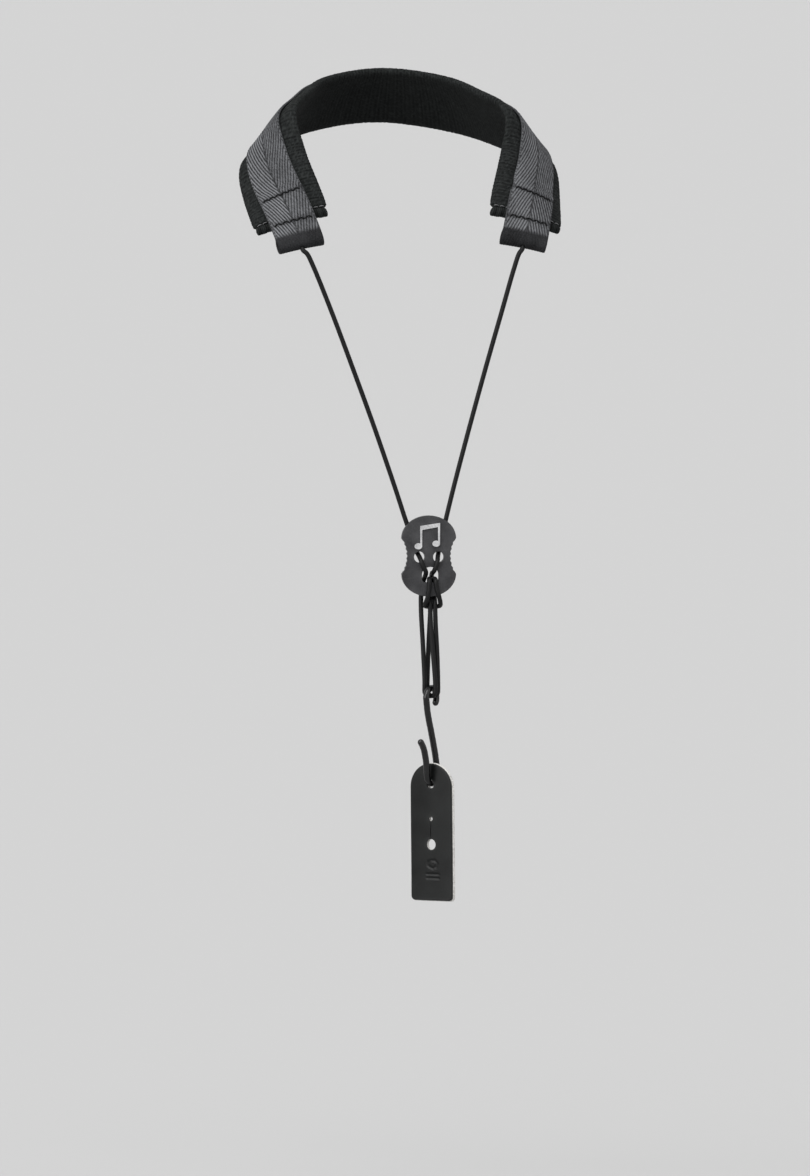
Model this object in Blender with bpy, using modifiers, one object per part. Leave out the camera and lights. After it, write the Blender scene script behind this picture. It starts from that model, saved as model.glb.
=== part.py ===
"""A neck strap for a wind instrument: padded neck band, cord, figure-8 slider, wire hook and keyhole tab.

Metres, +Z up, the front is -Y, and left and right are as seen from the front. The origin is where the
pad's lining rests on the back of the neck. Lists of places are written in millimetres and multiplied by MM.
"""

import math

import bmesh
import bpy
import numpy as np
from mathutils import Matrix, Vector

MM = 0.001

# Neck band, measured along it from the back of the neck (s), across it (w, outwards) and off the neck (h).
PAD_WIDTH = 44.0 * MM
PAD_HALF_LENGTH = 171.0 * MM
PAD_CROWN = 2.5 * MM
LINING_THICKNESS = 0.9 * MM
FOAM_THICKNESS = 2.6 * MM
COVER_THICKNESS = 0.9 * MM
LAYER_GAP = 0.35 * MM
FOAM_GAP = 0.65 * MM
FOAM_INSET = 2.6 * MM
HEM_RADIUS = 2.25 * MM

WEBBING_WIDTH = 26.0 * MM
WEBBING_THICKNESS = 1.5 * MM
LOOP_CENTRE = PAD_HALF_LENGTH + 17.5 * MM
LOOP_RADIUS = 3.6 * MM
STEP_START = PAD_HALF_LENGTH - 22.0 * MM
STEP_LENGTH = 7.0 * MM
BEYOND_PAD = (PAD_HALF_LENGTH + 5.0 * MM, PAD_HALF_LENGTH + 10.0 * MM)
CORD_HOLE_RADIUS = 1.75 * MM
CORD_HOLE_PLACES = (2.95 * MM, 5.6 * MM)
STITCH_ROW_PLACES = (PAD_HALF_LENGTH - 13.0 * MM, PAD_HALF_LENGTH + 6.5 * MM)
STITCH_ROW_LENGTH = 22.0 * MM
STITCH_ROW_WIDTH = 2.2 * MM
STITCH_ROW_THICKNESS = 0.5 * MM

# All the band's layers share these places along it, so that they bend alike. They are closest where the
# band twists over the shoulder.
TWIST_START = 100.0 * MM
TWIST_END = 136.0 * MM
RIGHT_ROWS = [
    *(float(s) for s in np.linspace(0.0, TWIST_START, 12)),
    *(float(s) for s in np.linspace(TWIST_START, TWIST_END, 13)[1:]),
    *(float(s) for s in np.linspace(TWIST_END, PAD_HALF_LENGTH, 6)[1:]),
]
PAD_ROWS = [-s for s in reversed(RIGHT_ROWS[1:])] + RIGHT_ROWS

# Heights of the band's layers above its inner surface.
FOAM_BASE = LINING_THICKNESS + FOAM_GAP
COVER_BASE = FOAM_BASE + FOAM_THICKNESS + FOAM_GAP
COVER_MIDDLE = COVER_BASE + COVER_THICKNESS / 2
COVER_TOP = COVER_BASE + COVER_THICKNESS
WEBBING_LOW = COVER_TOP + LAYER_GAP + WEBBING_THICKNESS / 2
WEBBING_HIGH = WEBBING_LOW + WEBBING_THICKNESS + LAYER_GAP
LOOP_HEIGHT = WEBBING_HIGH - LOOP_RADIUS

# The band's middle line and the direction across it, on the right half (mm).
BAND_STATIONS = (
    ((0.0, 0.0, 0.0), (0.0, 28.3, -28.3)),
    ((38.5, -15.1, -5.2), (12.2, 22.6, -30.2)),
    ((58.0, -49.5, -13.5), (20.0, 10.8, -31.8)),
    ((71.0, -73.5, -22.3), (23.6, 2.5, -32.0)),
    ((73.2, -83.5, -34.3), (25.2, 2.0, -31.0)),
    ((71.4, -92.3, -45.3), (30.0, 5.0, -25.0)),
    ((68.2, -103.8, -57.7), (35.8, 4.2, -16.3)),
    ((64.9, -117.8, -72.1), (38.2, 0.5, -11.0)),
    ((59.3, -131.6, -95.6), (38.8, -6.8, -6.5)),
)

SMOOTHING_REACH = 16

# Cord and slider.
CORD_RADIUS = 1.3 * MM
CORD_POINT_SPACING = 6.0 * MM
BENT_CORD_POINT_SPACING = 1.5 * MM
KNOT_RADIUS = 2.5 * MM
SLIDER_CENTRE = Vector((8.4, -134.0, -254.0)) * MM
SLIDER_THICKNESS = 3.2 * MM
LOBE_HALF_WIDTH = 15.35 * MM
LOBE_HALF_HEIGHT = 12.7 * MM
LOBE_CENTRES = (10.0 * MM, -10.0 * MM)
WAIST_HALF_WIDTH = 12.4 * MM
WAIST_TEETH = 7
TOOTH_DEPTH = 0.5 * MM
CORD_HOLES = ((-5.4 * MM, -0.5 * MM), (5.4 * MM, -0.5 * MM))
CORD_HOLE_DIAMETER = 6.2 * MM
OPENING_PLACE = (0.8 * MM, -10.4 * MM)
OPENING_HALF_WIDTH = 4.8 * MM
OPENING_HALF_HEIGHT = 4.3 * MM
OPENING_CORNER_RADIUS = 1.8 * MM
EMBLEM_HEIGHT = 0.6 * MM

# Hook and tab, in the hook's own plane, which is turned about the vertical.
HOOK_TURN = math.radians(-40.0)
EYE_CENTRE = SLIDER_CENTRE + Vector((1.5, 0.0, -79.5)) * MM
WIRE_RADIUS = 1.2 * MM
SLEEVE_RADIUS = 1.8 * MM
SLEEVE_WALL = 0.3 * MM
LOOP_WIRE_RADIUS = 5.4 * MM
HOOK_POINT_SPACING = 2.0 * MM
BEND_HEIGHT = -42.8 * MM
BEND_ALONG = 0.6 * MM
TAB_HANG_GAP = 0.5 * MM
TAB_WIDTH = 27.0 * MM
TAB_LENGTH = 77.0 * MM
TAB_TOP_ABOVE_HOLE = 11.5 * MM
TAB_CORNER_RADIUS = 2.5 * MM
TAB_LEATHER_THICKNESS = 1.4 * MM
TAB_BACKING_THICKNESS = 0.7 * MM
TAB_HOLE_DIAMETER = 5.0 * MM
TAB_SMALL_HOLE_DIAMETER = 2.6 * MM
TAB_LARGE_HOLE_DIAMETER = 6.2 * MM
TAB_SMALL_HOLE_DROP = 19.6 * MM
TAB_LARGE_HOLE_DROP = 34.0 * MM
TAB_SLIT_WIDTH = 0.5 * MM

# Routes of the cords (mm): the neck cords in the object's frame from just below the webbing's hole, the
# others from the slider's centre.
NECK_CORD_ROUTES = {
    "neck_cord_left": (
        (-59.9, -130.7, -84.4),
        (-56.6, -130.7, -91.0),
        (-46.4, -130.7, -116.0),
        (-33.7, -130.7, -149.6),
        (-21.4, -130.7, -183.2),
        (-9.8, -130.7, -216.8),
        (-3.9, -130.7, -234.7),
        (-0.85, -130.7, -243.1),
    ),
    "neck_cord_right": (
        (60.2, -130.7, -84.8),
        (57.2, -130.7, -93.5),
        (50.7, -130.7, -116.0),
        (41.0, -130.7, -149.6),
        (31.7, -130.7, -183.2),
        (22.8, -130.7, -216.8),
        (18.4, -130.7, -234.7),
        (16.5, -130.7, -243.1),
    ),
}
SLIDER_CORD_ROUTES = {
    "front_strand_left": (
        (-9.13, 3.3, 10.6),
        (-7.3, 3.35, 5.4),
        (-6.1, 2.85, 1.9),
        (-5.2, 0.0, -0.5),
        (-4.6, -2.95, -2.8),
        (-3.6, -3.5, -5.6),
        (-2.2, -2.8, -8.2),
        (-1.6, 0.0, -10.0),
        (-1.8, 2.8, -12.0),
        (-2.7, 3.6, -15.0),
    ),
    "front_strand_right": (
        (8.02, 3.3, 10.6),
        (6.9, 3.35, 5.4),
        (6.0, 2.85, 1.9),
        (5.2, 0.0, -0.5),
        (4.5, -2.95, -2.8),
        (3.7, -3.5, -5.6),
        (2.8, -2.8, -8.0),
        (2.4, 0.0, -9.3),
        (2.4, 3.2, -9.8),
        (2.5, 5.9, -12.0),
        (2.6, 6.7, -15.0),
    ),
    "running_strand_left": (
        (-2.8, 3.6, -15.3),
        (-3.7, 3.6, -22.0),
        (-3.8, 3.5, -30.0),
        (-2.9, 2.3, -50.0),
        (-2.1, 1.15, -70.0),
        (-2.1, 1.15, -75.0),
    ),
    "running_strand_right": (
        (2.6, 6.7, -15.3),
        (2.4, 6.7, -22.0),
        (2.0, 6.5, -30.0),
        (0.7, 4.9, -50.0),
        (-0.2, 3.37, -70.0),
        (-0.2, 3.37, -75.0),
    ),
    "fixed_strand_left": (
        (0.85, 0.0, -30.3),
        (1.1, -0.7, -38.0),
        (2.1, -2.3, -54.0),
        (3.2, -3.37, -70.0),
        (3.2, -3.37, -75.0),
    ),
    "fixed_strand_right": (
        (3.7, 0.0, -30.3),
        (3.95, 0.0, -38.0),
        (4.7, -0.6, -54.0),
        (5.1, -1.15, -70.0),
        (5.1, -1.15, -75.0),
    ),
    "cord_hitch": (
        (0.85, 0.0, -30.0),
        (0.85, 0.1, -27.3),
        (0.85, 1.0, -25.4),
        (0.85, 2.5, -24.0),
        (0.8, 3.3, -22.0),
        (0.8, 3.5, -18.0),
        (0.7, 2.9, -13.8),
        (0.4, 0.0, -12.8),
        (0.0, -2.9, -13.8),
        (-0.3, -3.5, -18.0),
        (-0.8, -3.5, -22.0),
        (-1.7, -2.2, -25.5),
        (-2.0, 0.4, -27.8),
        (-0.7, 2.8, -28.4),
        (2.25, 3.4, -28.5),
        (5.2, 2.8, -28.4),
        (6.55, 0.4, -27.8),
        (6.2, -2.2, -25.5),
        (5.2, -3.5, -22.0),
        (4.1, -3.5, -18.0),
        (3.6, -2.9, -13.8),
        (3.4, 0.0, -12.8),
        (3.6, 2.9, -13.8),
        (3.7, 3.5, -18.0),
        (3.7, 3.3, -22.0),
        (3.7, 2.5, -24.0),
        (3.7, 1.0, -25.4),
        (3.7, 0.1, -27.3),
        (3.7, 0.0, -30.0),
    ),
}
# The bights in the hook's eye, from the eye's centre in the hook's frame: across it, along it and up (mm).
BIGHT_OFFSET = 1.45 * MM
BIGHT_ROUTE = (
    (-3.5, 0.0, 4.2),
    (-3.4, 0.0, 3.0),
    (-2.4, 0.0, 1.6),
    (0.0, 0.0, 1.0),
    (2.4, 0.0, 1.6),
    (3.4, 0.0, 3.0),
    (3.5, 0.0, 4.2),
)


# ---------------------------------------------------------------- scene


def clear_scene():
    for old in list(bpy.data.objects):
        bpy.data.objects.remove(old)


def new_collection(name):
    collection = bpy.data.collections.new(name)
    bpy.context.scene.collection.children.link(collection)
    return collection


def material(name, colour, roughness, metallic=0.0):
    made = bpy.data.materials.new(name)
    made.use_nodes = True
    shader = made.node_tree.nodes["Principled BSDF"]
    shader.inputs["Base Color"].default_value = (*colour, 1.0)
    shader.inputs["Roughness"].default_value = roughness
    shader.inputs["Metallic"].default_value = metallic
    return made


def add_object(name, data, collection, finish=None):
    made = bpy.data.objects.new(name, data)
    collection.objects.link(made)
    if finish is not None:
        data.materials.append(finish)
    return made


def add_cutter(name, mesh):
    cutter = add_object(name, mesh, cutters)
    cutter.hide_render = True
    cutter.display_type = "WIRE"
    return cutter


def cut(target, cutter):
    boolean = target.modifiers.new(cutter.name, "BOOLEAN")
    boolean.object = cutter
    boolean.operation = "DIFFERENCE"


def shade_round(mesh, angle_degrees=40.0):
    mesh.shade_smooth()
    mesh.set_sharp_from_angle(angle=math.radians(angle_degrees))


# ---------------------------------------------------------------- curves through points


def smooth_curve(points, steps):
    """Points on a Catmull-Rom curve through the given points, its knots spaced by the chords' roots."""
    points = np.asarray(points, float)
    padded = np.vstack([2 * points[0] - points[1], points, 2 * points[-1] - points[-2]])
    chords = np.linalg.norm(np.diff(padded[:, :3], axis=0), axis=1)
    knots = np.concatenate([[0.0], np.cumsum(np.sqrt(chords))])
    curve = []
    for i in range(1, len(padded) - 2):
        p = padded[i - 1 : i + 3]
        k = knots[i - 1 : i + 3]
        for t in np.linspace(k[1], k[2], steps, endpoint=False):
            a = [between(p[j], p[j + 1], k[j], k[j + 1], t) for j in range(3)]
            b = [between(a[j], a[j + 1], k[j], k[j + 2], t) for j in range(2)]
            curve.append(between(b[0], b[1], k[1], k[2], t))
    curve.append(points[-1])
    return np.array(curve)


def between(first, last, start, end, t):
    return (first * (end - t) + last * (t - start)) / (end - start)


def even_points(curve, spacing):
    """Points a constant distance apart along a dense curve."""
    lengths = np.concatenate([[0.0], np.cumsum(np.linalg.norm(np.diff(curve, axis=0), axis=1))])
    count = max(3, int(round(lengths[-1] / spacing)) + 1)
    places = np.linspace(0.0, lengths[-1], count)
    return np.column_stack([np.interp(places, lengths, curve[:, axis]) for axis in range(3)])


def tube(name, points, radius, finish, origin=Vector(), caps=True):
    """A round tube along points, as a curve object with the given origin."""
    curve = bpy.data.curves.new(name, "CURVE")
    curve.dimensions = "3D"
    curve.bevel_depth = radius
    curve.bevel_resolution = 2
    curve.use_fill_caps = caps
    spline = curve.splines.new("POLY")
    spline.points.add(len(points) - 1)
    for point, place in zip(spline.points, points):
        point.co = (*(Vector(place) - origin), 1.0)
    made = add_object(name, curve, strap, finish)
    made.location = origin
    return made


def mesh_from_curve(source):
    """A mesh object in place of a curve object, with its caps welded."""
    depsgraph = bpy.context.evaluated_depsgraph_get()
    mesh = bpy.data.meshes.new_from_object(source.evaluated_get(depsgraph))
    work = bmesh.new()
    work.from_mesh(mesh)
    bmesh.ops.remove_doubles(work, verts=work.verts, dist=1e-6)
    bmesh.ops.recalc_face_normals(work, faces=work.faces)
    work.to_mesh(mesh)
    work.free()
    name = source.name
    collection = source.users_collection[0]
    place = source.matrix_world.copy()
    bpy.data.objects.remove(source)
    made = add_object(name, mesh, collection)
    made.matrix_world = place
    return made


# ---------------------------------------------------------------- neck band


def band_table():
    """Lengths, middle points and across directions along the band's right half, every millimetre."""
    rows = np.array([(*centre, *across) for centre, across in BAND_STATIONS])
    mirror = np.array((-1, 1, 1, -1, 1, 1))
    dense = smooth_curve(np.vstack([rows[:0:-1] * mirror, rows]), 40)
    travel = np.concatenate([[0.0], np.cumsum(np.linalg.norm(np.diff(dense[:, :3], axis=0), axis=1))])
    places = np.arange(0.0, travel[-1])
    even = np.column_stack([np.interp(places, travel, column) for column in dense.T])
    reach = SMOOTHING_REACH
    before = 2 * even[0] - even[reach:0:-1]
    after = 2 * even[-1] - even[-2 : -reach - 2 : -1]
    window = np.hanning(2 * reach + 3)[1:-1]
    window /= window.sum()
    padded = np.vstack([before, even, after])
    smooth = np.column_stack([np.convolve(column, window, "valid") for column in padded.T])
    middle = int(np.argmin(np.abs(smooth[:, 0])))
    right = smooth[middle:]
    right[0, 0] = 0.0
    centres = right[:, :3] * MM
    steps = np.linalg.norm(np.diff(centres, axis=0), axis=1)
    return np.concatenate([[0.0], np.cumsum(steps)]), centres, right[:, 3:]


BAND_LENGTHS, BAND_CENTRES, BAND_ACROSS = band_table()


def along_band(values, s):
    return np.array([np.interp(s, BAND_LENGTHS, values[:, axis]) for axis in range(3)])


def band_frame(s):
    """The band's middle point, direction across and direction off the neck, s metres right of the back."""
    centre = along_band(BAND_CENTRES, s)
    step = 2.0 * MM
    ahead = along_band(BAND_CENTRES, s + step) - along_band(BAND_CENTRES, max(s - step, 0.0))
    if s < step:
        ahead = np.array((1.0, 0.0, 0.0))
    ahead /= np.linalg.norm(ahead)
    across = along_band(BAND_ACROSS, s)
    across -= ahead * across.dot(ahead)
    across /= np.linalg.norm(across)
    return centre, across, np.cross(ahead, across)


def band_point(s, w, h):
    centre, across, outward = band_frame(abs(s))
    crown = PAD_CROWN * (2 * w / PAD_WIDTH) ** 2
    place = centre + across * w + outward * (h - crown)
    if s < 0:
        place[0] = -place[0]
    return Vector(place)


def band_sheet(name, rows, columns, place, thickness, finish):
    """A sheet on the band: a grid whose corners go where place(row, column) says, given thickness."""
    mesh = bpy.data.meshes.new(name)
    work = bmesh.new()
    bmesh.ops.create_grid(work, x_segments=rows - 1, y_segments=columns - 1, size=0.5)
    for corner in work.verts:
        row = round((corner.co.x + 0.5) * (rows - 1))
        column = round((corner.co.y + 0.5) * (columns - 1))
        corner.co = band_point(*place(row, column))
    work.to_mesh(mesh)
    work.free()
    mesh.shade_smooth()
    made = add_object(name, mesh, strap, finish)
    solidify = made.modifiers.new("thickness", "SOLIDIFY")
    solidify.thickness = thickness
    solidify.offset = 0.0
    return made


def make_flat_layer(name, half_length, width, base, thickness, finish):
    columns = 7

    def place(row, column):
        s = max(-half_length, min(half_length, PAD_ROWS[row]))
        w = width * (column / (columns - 1) - 0.5)
        return s, w, base + thickness / 2

    band_sheet(name, len(PAD_ROWS), columns, place, thickness, finish)


def make_cover():
    """The outer cover: a channel over the foam, with its long edges turned down to the lining."""
    side = PAD_WIDTH / 2 - COVER_THICKNESS / 2
    turn = 1.0 * MM
    top = COVER_MIDDLE
    half = [(side, 0.3 * MM), (side, top - turn), (side - 0.3 * turn, top - 0.3 * turn), (side - turn, top)]
    profile = half + [(WEBBING_WIDTH * share, top) for share in (0.5, 0.25, 0.0, -0.25, -0.5)]
    profile += [(-w, h) for w, h in reversed(half)]

    def place(row, column):
        w, h = profile[column]
        return PAD_ROWS[row], w, h

    band_sheet("pad_outer_cover", len(PAD_ROWS), len(profile), place, COVER_THICKNESS, finishes["knit"])


def make_hem(name, side):
    hem_s = PAD_HALF_LENGTH + LAYER_GAP + HEM_RADIUS
    hem_h = COVER_TOP / 2
    half = PAD_WIDTH / 2 - HEM_RADIUS / 2
    points = [band_point(side * hem_s, half * share, hem_h) for share in np.linspace(-1, 1, 11)]
    tube(name, points, HEM_RADIUS, finishes["knit"])


def webbing_half_route():
    """The webbing's right half in (s, h): across the pad, up a step, along, round the loop and back."""
    single = [s for s in PAD_ROWS if 0.0 <= s <= STEP_START]
    doubled = [s for s in PAD_ROWS if s > STEP_START + STEP_LENGTH]
    route = [(s, WEBBING_LOW) for s in single]
    for share in (0.25, 0.5, 0.75, 1.0):
        rise = share * share * (3 - 2 * share)
        route.append((STEP_START + STEP_LENGTH * share, WEBBING_LOW + rise * (WEBBING_HIGH - WEBBING_LOW)))
    route += [(s, WEBBING_HIGH) for s in (*doubled, *BEYOND_PAD)]
    for angle in range(90, -181, -18):
        turn = math.radians(angle)
        route.append((LOOP_CENTRE + LOOP_RADIUS * math.cos(turn), LOOP_HEIGHT + LOOP_RADIUS * math.sin(turn)))
    bend = WEBBING_LOW - LOOP_HEIGHT
    bend_centre = LOOP_CENTRE - LOOP_RADIUS - bend
    for angle in (30, 60, 90):
        turn = math.radians(angle)
        route.append((bend_centre + bend * math.cos(turn), LOOP_HEIGHT + bend * math.sin(turn)))
    return route + [(s, WEBBING_LOW) for s in reversed((*doubled, *BEYOND_PAD))]


def make_webbing():
    half = webbing_half_route()
    route = [(-s, h) for s, h in reversed(half)][:-1] + half
    columns = 5

    def place(row, column):
        s, h = route[row]
        return s, WEBBING_WIDTH * (column / (columns - 1) - 0.5), h

    webbing = band_sheet("webbing_band", len(route), columns, place, WEBBING_THICKNESS, finishes["webbing"])
    for side, label in ((-1, "left"), (1, "right")):
        inner = band_point(side * LOOP_CENTRE, 0.0, LOOP_HEIGHT)
        outer = band_point(side * (LOOP_CENTRE + 3 * LOOP_RADIUS), 0.0, LOOP_HEIGHT)
        cut(webbing, rod_cutter("cord_hole_" + label, inner, outer, CORD_HOLE_RADIUS))


def rod_cutter(name, start, end, radius):
    """A cylinder from start to end, for cutting."""
    mesh = bpy.data.meshes.new(name)
    work = bmesh.new()
    length = (end - start).length
    bmesh.ops.create_cone(
        work, cap_ends=True, cap_tris=False, segments=24, radius1=radius, radius2=radius, depth=length
    )
    work.to_mesh(mesh)
    work.free()
    cutter = add_cutter(name, mesh)
    cutter.location = (start + end) / 2
    cutter.rotation_euler = (end - start).to_track_quat("Z", "Y").to_euler()
    return cutter


def make_stitch_row(name, side, s):
    base = WEBBING_HIGH + WEBBING_THICKNESS / 2 + LAYER_GAP

    def place(row, column):
        along = s + STITCH_ROW_WIDTH * (row - 0.5)
        return side * along, STITCH_ROW_LENGTH * (column / 8 - 0.5), base + STITCH_ROW_THICKNESS / 2

    band_sheet(name, 2, 9, place, STITCH_ROW_THICKNESS, finishes["thread"])


def make_knot(name, side):
    mesh = bpy.data.meshes.new(name)
    work = bmesh.new()
    bmesh.ops.create_uvsphere(work, u_segments=16, v_segments=10, radius=KNOT_RADIUS)
    work.to_mesh(mesh)
    work.free()
    mesh.shade_smooth()
    knot = add_object(name, mesh, strap, finishes["cord"])
    knot.location = band_point(side * LOOP_CENTRE, 0.0, LOOP_HEIGHT)


# ---------------------------------------------------------------- slider and cords


def slider_outline():
    """Half-ellipse lobes joined by hollow serrated waists, counter-clockwise from the right of the top."""
    top, bottom = LOBE_CENTRES
    outline = []
    for i in range(25):
        turn = math.pi * i / 24
        outline.append((LOBE_HALF_WIDTH * math.cos(turn), top + LOBE_HALF_HEIGHT * math.sin(turn)))
    left = waist_points(top, bottom)
    outline += [(-x, z) for x, z in left]
    for i in range(25):
        turn = math.pi * (1 + i / 24)
        outline.append((LOBE_HALF_WIDTH * math.cos(turn), bottom + LOBE_HALF_HEIGHT * math.sin(turn)))
    outline += [(x, z) for x, z in reversed(left)]
    return outline


def waist_points(top, bottom):
    """A hollow arc from the top lobe to the bottom one, cut with teeth over its middle."""
    half_chord = (top - bottom) / 2
    hollow = LOBE_HALF_WIDTH - WAIST_HALF_WIDTH
    radius = (half_chord**2 + hollow**2) / (2 * hollow)
    span = math.asin(half_chord / radius)
    points = []
    steps = 4 * WAIST_TEETH + 4
    for i in range(1, steps):
        angle = span * (1 - 2 * i / steps)
        x = WAIST_HALF_WIDTH + radius - radius * math.cos(angle)
        toothed = 2 <= i <= steps - 2
        if toothed and i % 4 == 0:
            x -= TOOTH_DEPTH
        if i % 4 in (0, 2):
            points.append((x, radius * math.sin(angle)))
    return points


def flat_outline(name, outlines, thickness, finish):
    """Closed outlines in X and Z filled and extruded along Y, as a mesh object."""
    curve = bpy.data.curves.new(name, "CURVE")
    curve.dimensions = "2D"
    curve.fill_mode = "BOTH"
    curve.extrude = thickness / 2
    for outline in outlines:
        spline = curve.splines.new("POLY")
        spline.points.add(len(outline) - 1)
        spline.use_cyclic_u = True
        for point, (x, z) in zip(spline.points, outline):
            point.co = (x, z, 0.0, 1.0)
    made = mesh_from_curve(add_object(name, curve, strap))
    made.data.transform(Matrix.Rotation(math.radians(90.0), 4, "X"))
    made.data.materials.append(finish)
    shade_round(made.data)
    return made


def round_edges(target, width, segments, angle_degrees=40.0):
    bevel = target.modifiers.new("rounded_edges", "BEVEL")
    bevel.width = width
    bevel.segments = segments
    bevel.limit_method = "ANGLE"
    bevel.angle_limit = math.radians(angle_degrees)


def circle(centre, radius, count=28):
    turns = [2 * math.pi * i / count for i in range(count)]
    return [(centre[0] + radius * math.cos(t), centre[1] + radius * math.sin(t)) for t in turns]


def opening_outline():
    """The lower opening: a half-ellipse above, rounded corners below."""
    centre_x, centre_z = OPENING_PLACE
    corner = OPENING_CORNER_RADIUS
    outline = []
    for t in np.linspace(0, math.pi, 15):
        x = centre_x + OPENING_HALF_WIDTH * math.cos(t)
        outline.append((x, centre_z + OPENING_HALF_HEIGHT * math.sin(t)))
    for side, start in ((-1, math.pi), (1, 1.5 * math.pi)):
        for t in np.linspace(start, start + math.pi / 2, 5):
            x = centre_x + side * (OPENING_HALF_WIDTH - corner) + corner * math.cos(t)
            outline.append((x, centre_z - OPENING_HALF_HEIGHT + corner + corner * math.sin(t)))
    return outline


def make_slider():
    holes = [circle(place, CORD_HOLE_DIAMETER / 2) for place in CORD_HOLES]
    holes.append(opening_outline())
    plate = flat_outline("slider_plate", [slider_outline(), *holes], SLIDER_THICKNESS, finishes["plastic"])
    plate.location = SLIDER_CENTRE
    round_edges(plate, 0.5 * MM, 2, 60.0)


def make_emblem():
    """Two quavers joined by a beam, as one flat silver piece."""
    head = 2.2 * MM
    stem = 0.6 * MM
    left_foot = (-6.2 * MM, 5.6 * MM)
    right_foot = (3.9 * MM, 7.0 * MM)
    top_left = 17.0 * MM
    top_right = 18.6 * MM
    beam = 2.3 * MM
    outline = []
    for i in range(13):
        turn = math.radians(60 + 285 * i / 12)
        outline.append((left_foot[0] + head * math.cos(turn), left_foot[1] + 0.8 * head * math.sin(turn)))
    left_stem = left_foot[0] + head
    right_stem = right_foot[0] + head
    outline.append((left_stem, top_left - beam))
    outline.append((right_stem - 2 * stem, top_right - beam))
    for i in range(13):
        turn = math.radians(60 + 285 * i / 12)
        outline.append((right_foot[0] + head * math.cos(turn), right_foot[1] + 0.8 * head * math.sin(turn)))
    outline.append((right_stem, top_right))
    outline.append((left_stem - 2 * stem, top_left))
    emblem = flat_outline("slider_emblem", [outline], EMBLEM_HEIGHT, finishes["silver"])
    forward = SLIDER_THICKNESS / 2 + LAYER_GAP + EMBLEM_HEIGHT / 2
    emblem.location = SLIDER_CENTRE + Vector((0.0, -forward, 0.0))


def make_cords():
    for (name, route), side in zip(NECK_CORD_ROUTES.items(), (-1, 1)):
        in_hole = [band_point(side * (LOOP_CENTRE + past), 0.0, LOOP_HEIGHT) for past in CORD_HOLE_PLACES]
        dense = smooth_curve(np.vstack([in_hole, np.array(route) * MM]), 12)
        tube(name, even_points(dense, CORD_POINT_SPACING), CORD_RADIUS, finishes["cord"])
    for name, route in SLIDER_CORD_ROUTES.items():
        dense = smooth_curve(np.array(route) * MM, 12) + np.array(SLIDER_CENTRE)
        straight = name.startswith(("running", "fixed"))
        spacing = CORD_POINT_SPACING if straight else BENT_CORD_POINT_SPACING
        tube(name, even_points(dense, spacing), CORD_RADIUS, finishes["cord"], SLIDER_CENTRE)


def make_bights():
    for name, offset in (("cord_bight_front", -BIGHT_OFFSET), ("cord_bight_back", BIGHT_OFFSET)):
        dense = smooth_curve(np.array(BIGHT_ROUTE) * MM, 12)
        points = [hook_point(x, offset, z) for x, _, z in even_points(dense, 1.2 * MM)]
        tube(name, points, CORD_RADIUS, finishes["cord"], EYE_CENTRE)


# ---------------------------------------------------------------- hook and tab


def hook_point(across, along, up):
    """A place near the hook: across its plane, along it (backwards) and up, from the eye's centre."""
    turned = Matrix.Rotation(HOOK_TURN, 3, "Z") @ Vector((across, along, up))
    return EYE_CENTRE + turned


def hook_route():
    """The hook's middle line in its own plane: eye, shank, bend and flared tip."""
    radius = LOOP_WIRE_RADIUS
    points = [(radius * math.cos(t), radius * math.sin(t)) for t in np.radians(np.arange(-52, 190, 12))]
    points += [(-3.7 * MM, -9.0 * MM), (0.2 * MM, -20.0 * MM), (4.0 * MM, -31.5 * MM), (5.7 * MM, -38.5 * MM)]
    for turn in np.radians(np.arange(0, -181, -15)):
        points.append((BEND_ALONG + radius * math.cos(turn), BEND_HEIGHT + radius * math.sin(turn)))
    points += [(-5.3 * MM, -37.5 * MM), (-6.6 * MM, -32.0 * MM)]
    points += [(-9.0 * MM, -27.0 * MM), (-12.6 * MM, -23.2 * MM)]
    flat = np.array([(0.0, y, z) for y, z in points])
    return even_points(smooth_curve(flat, 8), HOOK_POINT_SPACING)


def make_hook():
    points = [hook_point(*place) for place in hook_route()]
    tube("hook_wire", points, WIRE_RADIUS, finishes["steel"], EYE_CENTRE)
    open_tube = tube("hook_sleeve", points, SLEEVE_RADIUS - SLEEVE_WALL / 2, None, EYE_CENTRE, caps=False)
    sleeve = mesh_from_curve(open_tube)
    sleeve.data.materials.append(finishes["sleeve"])
    shade_round(sleeve.data, 60.0)
    solidify = sleeve.modifiers.new("wall", "SOLIDIFY")
    solidify.thickness = SLEEVE_WALL
    solidify.offset = 0.0


def tab_outline(grow=0.0):
    """Round-topped tab with small lower corners, from the hanging hole, grown by a margin."""
    half = TAB_WIDTH / 2 + grow
    top = TAB_TOP_ABOVE_HOLE + grow
    bottom = TAB_TOP_ABOVE_HOLE - TAB_LENGTH - grow
    corner = TAB_CORNER_RADIUS
    shoulder = top - half
    outline = [(half * math.cos(t), shoulder + half * math.sin(t)) for t in np.linspace(0, math.pi, 25)]
    for side, start in ((-1, math.pi), (1, 1.5 * math.pi)):
        for t in np.linspace(start, start + math.pi / 2, 5):
            x = side * (half - corner) + corner * math.cos(t)
            outline.append((x, bottom + corner + corner * math.sin(t)))
    return outline


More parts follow.
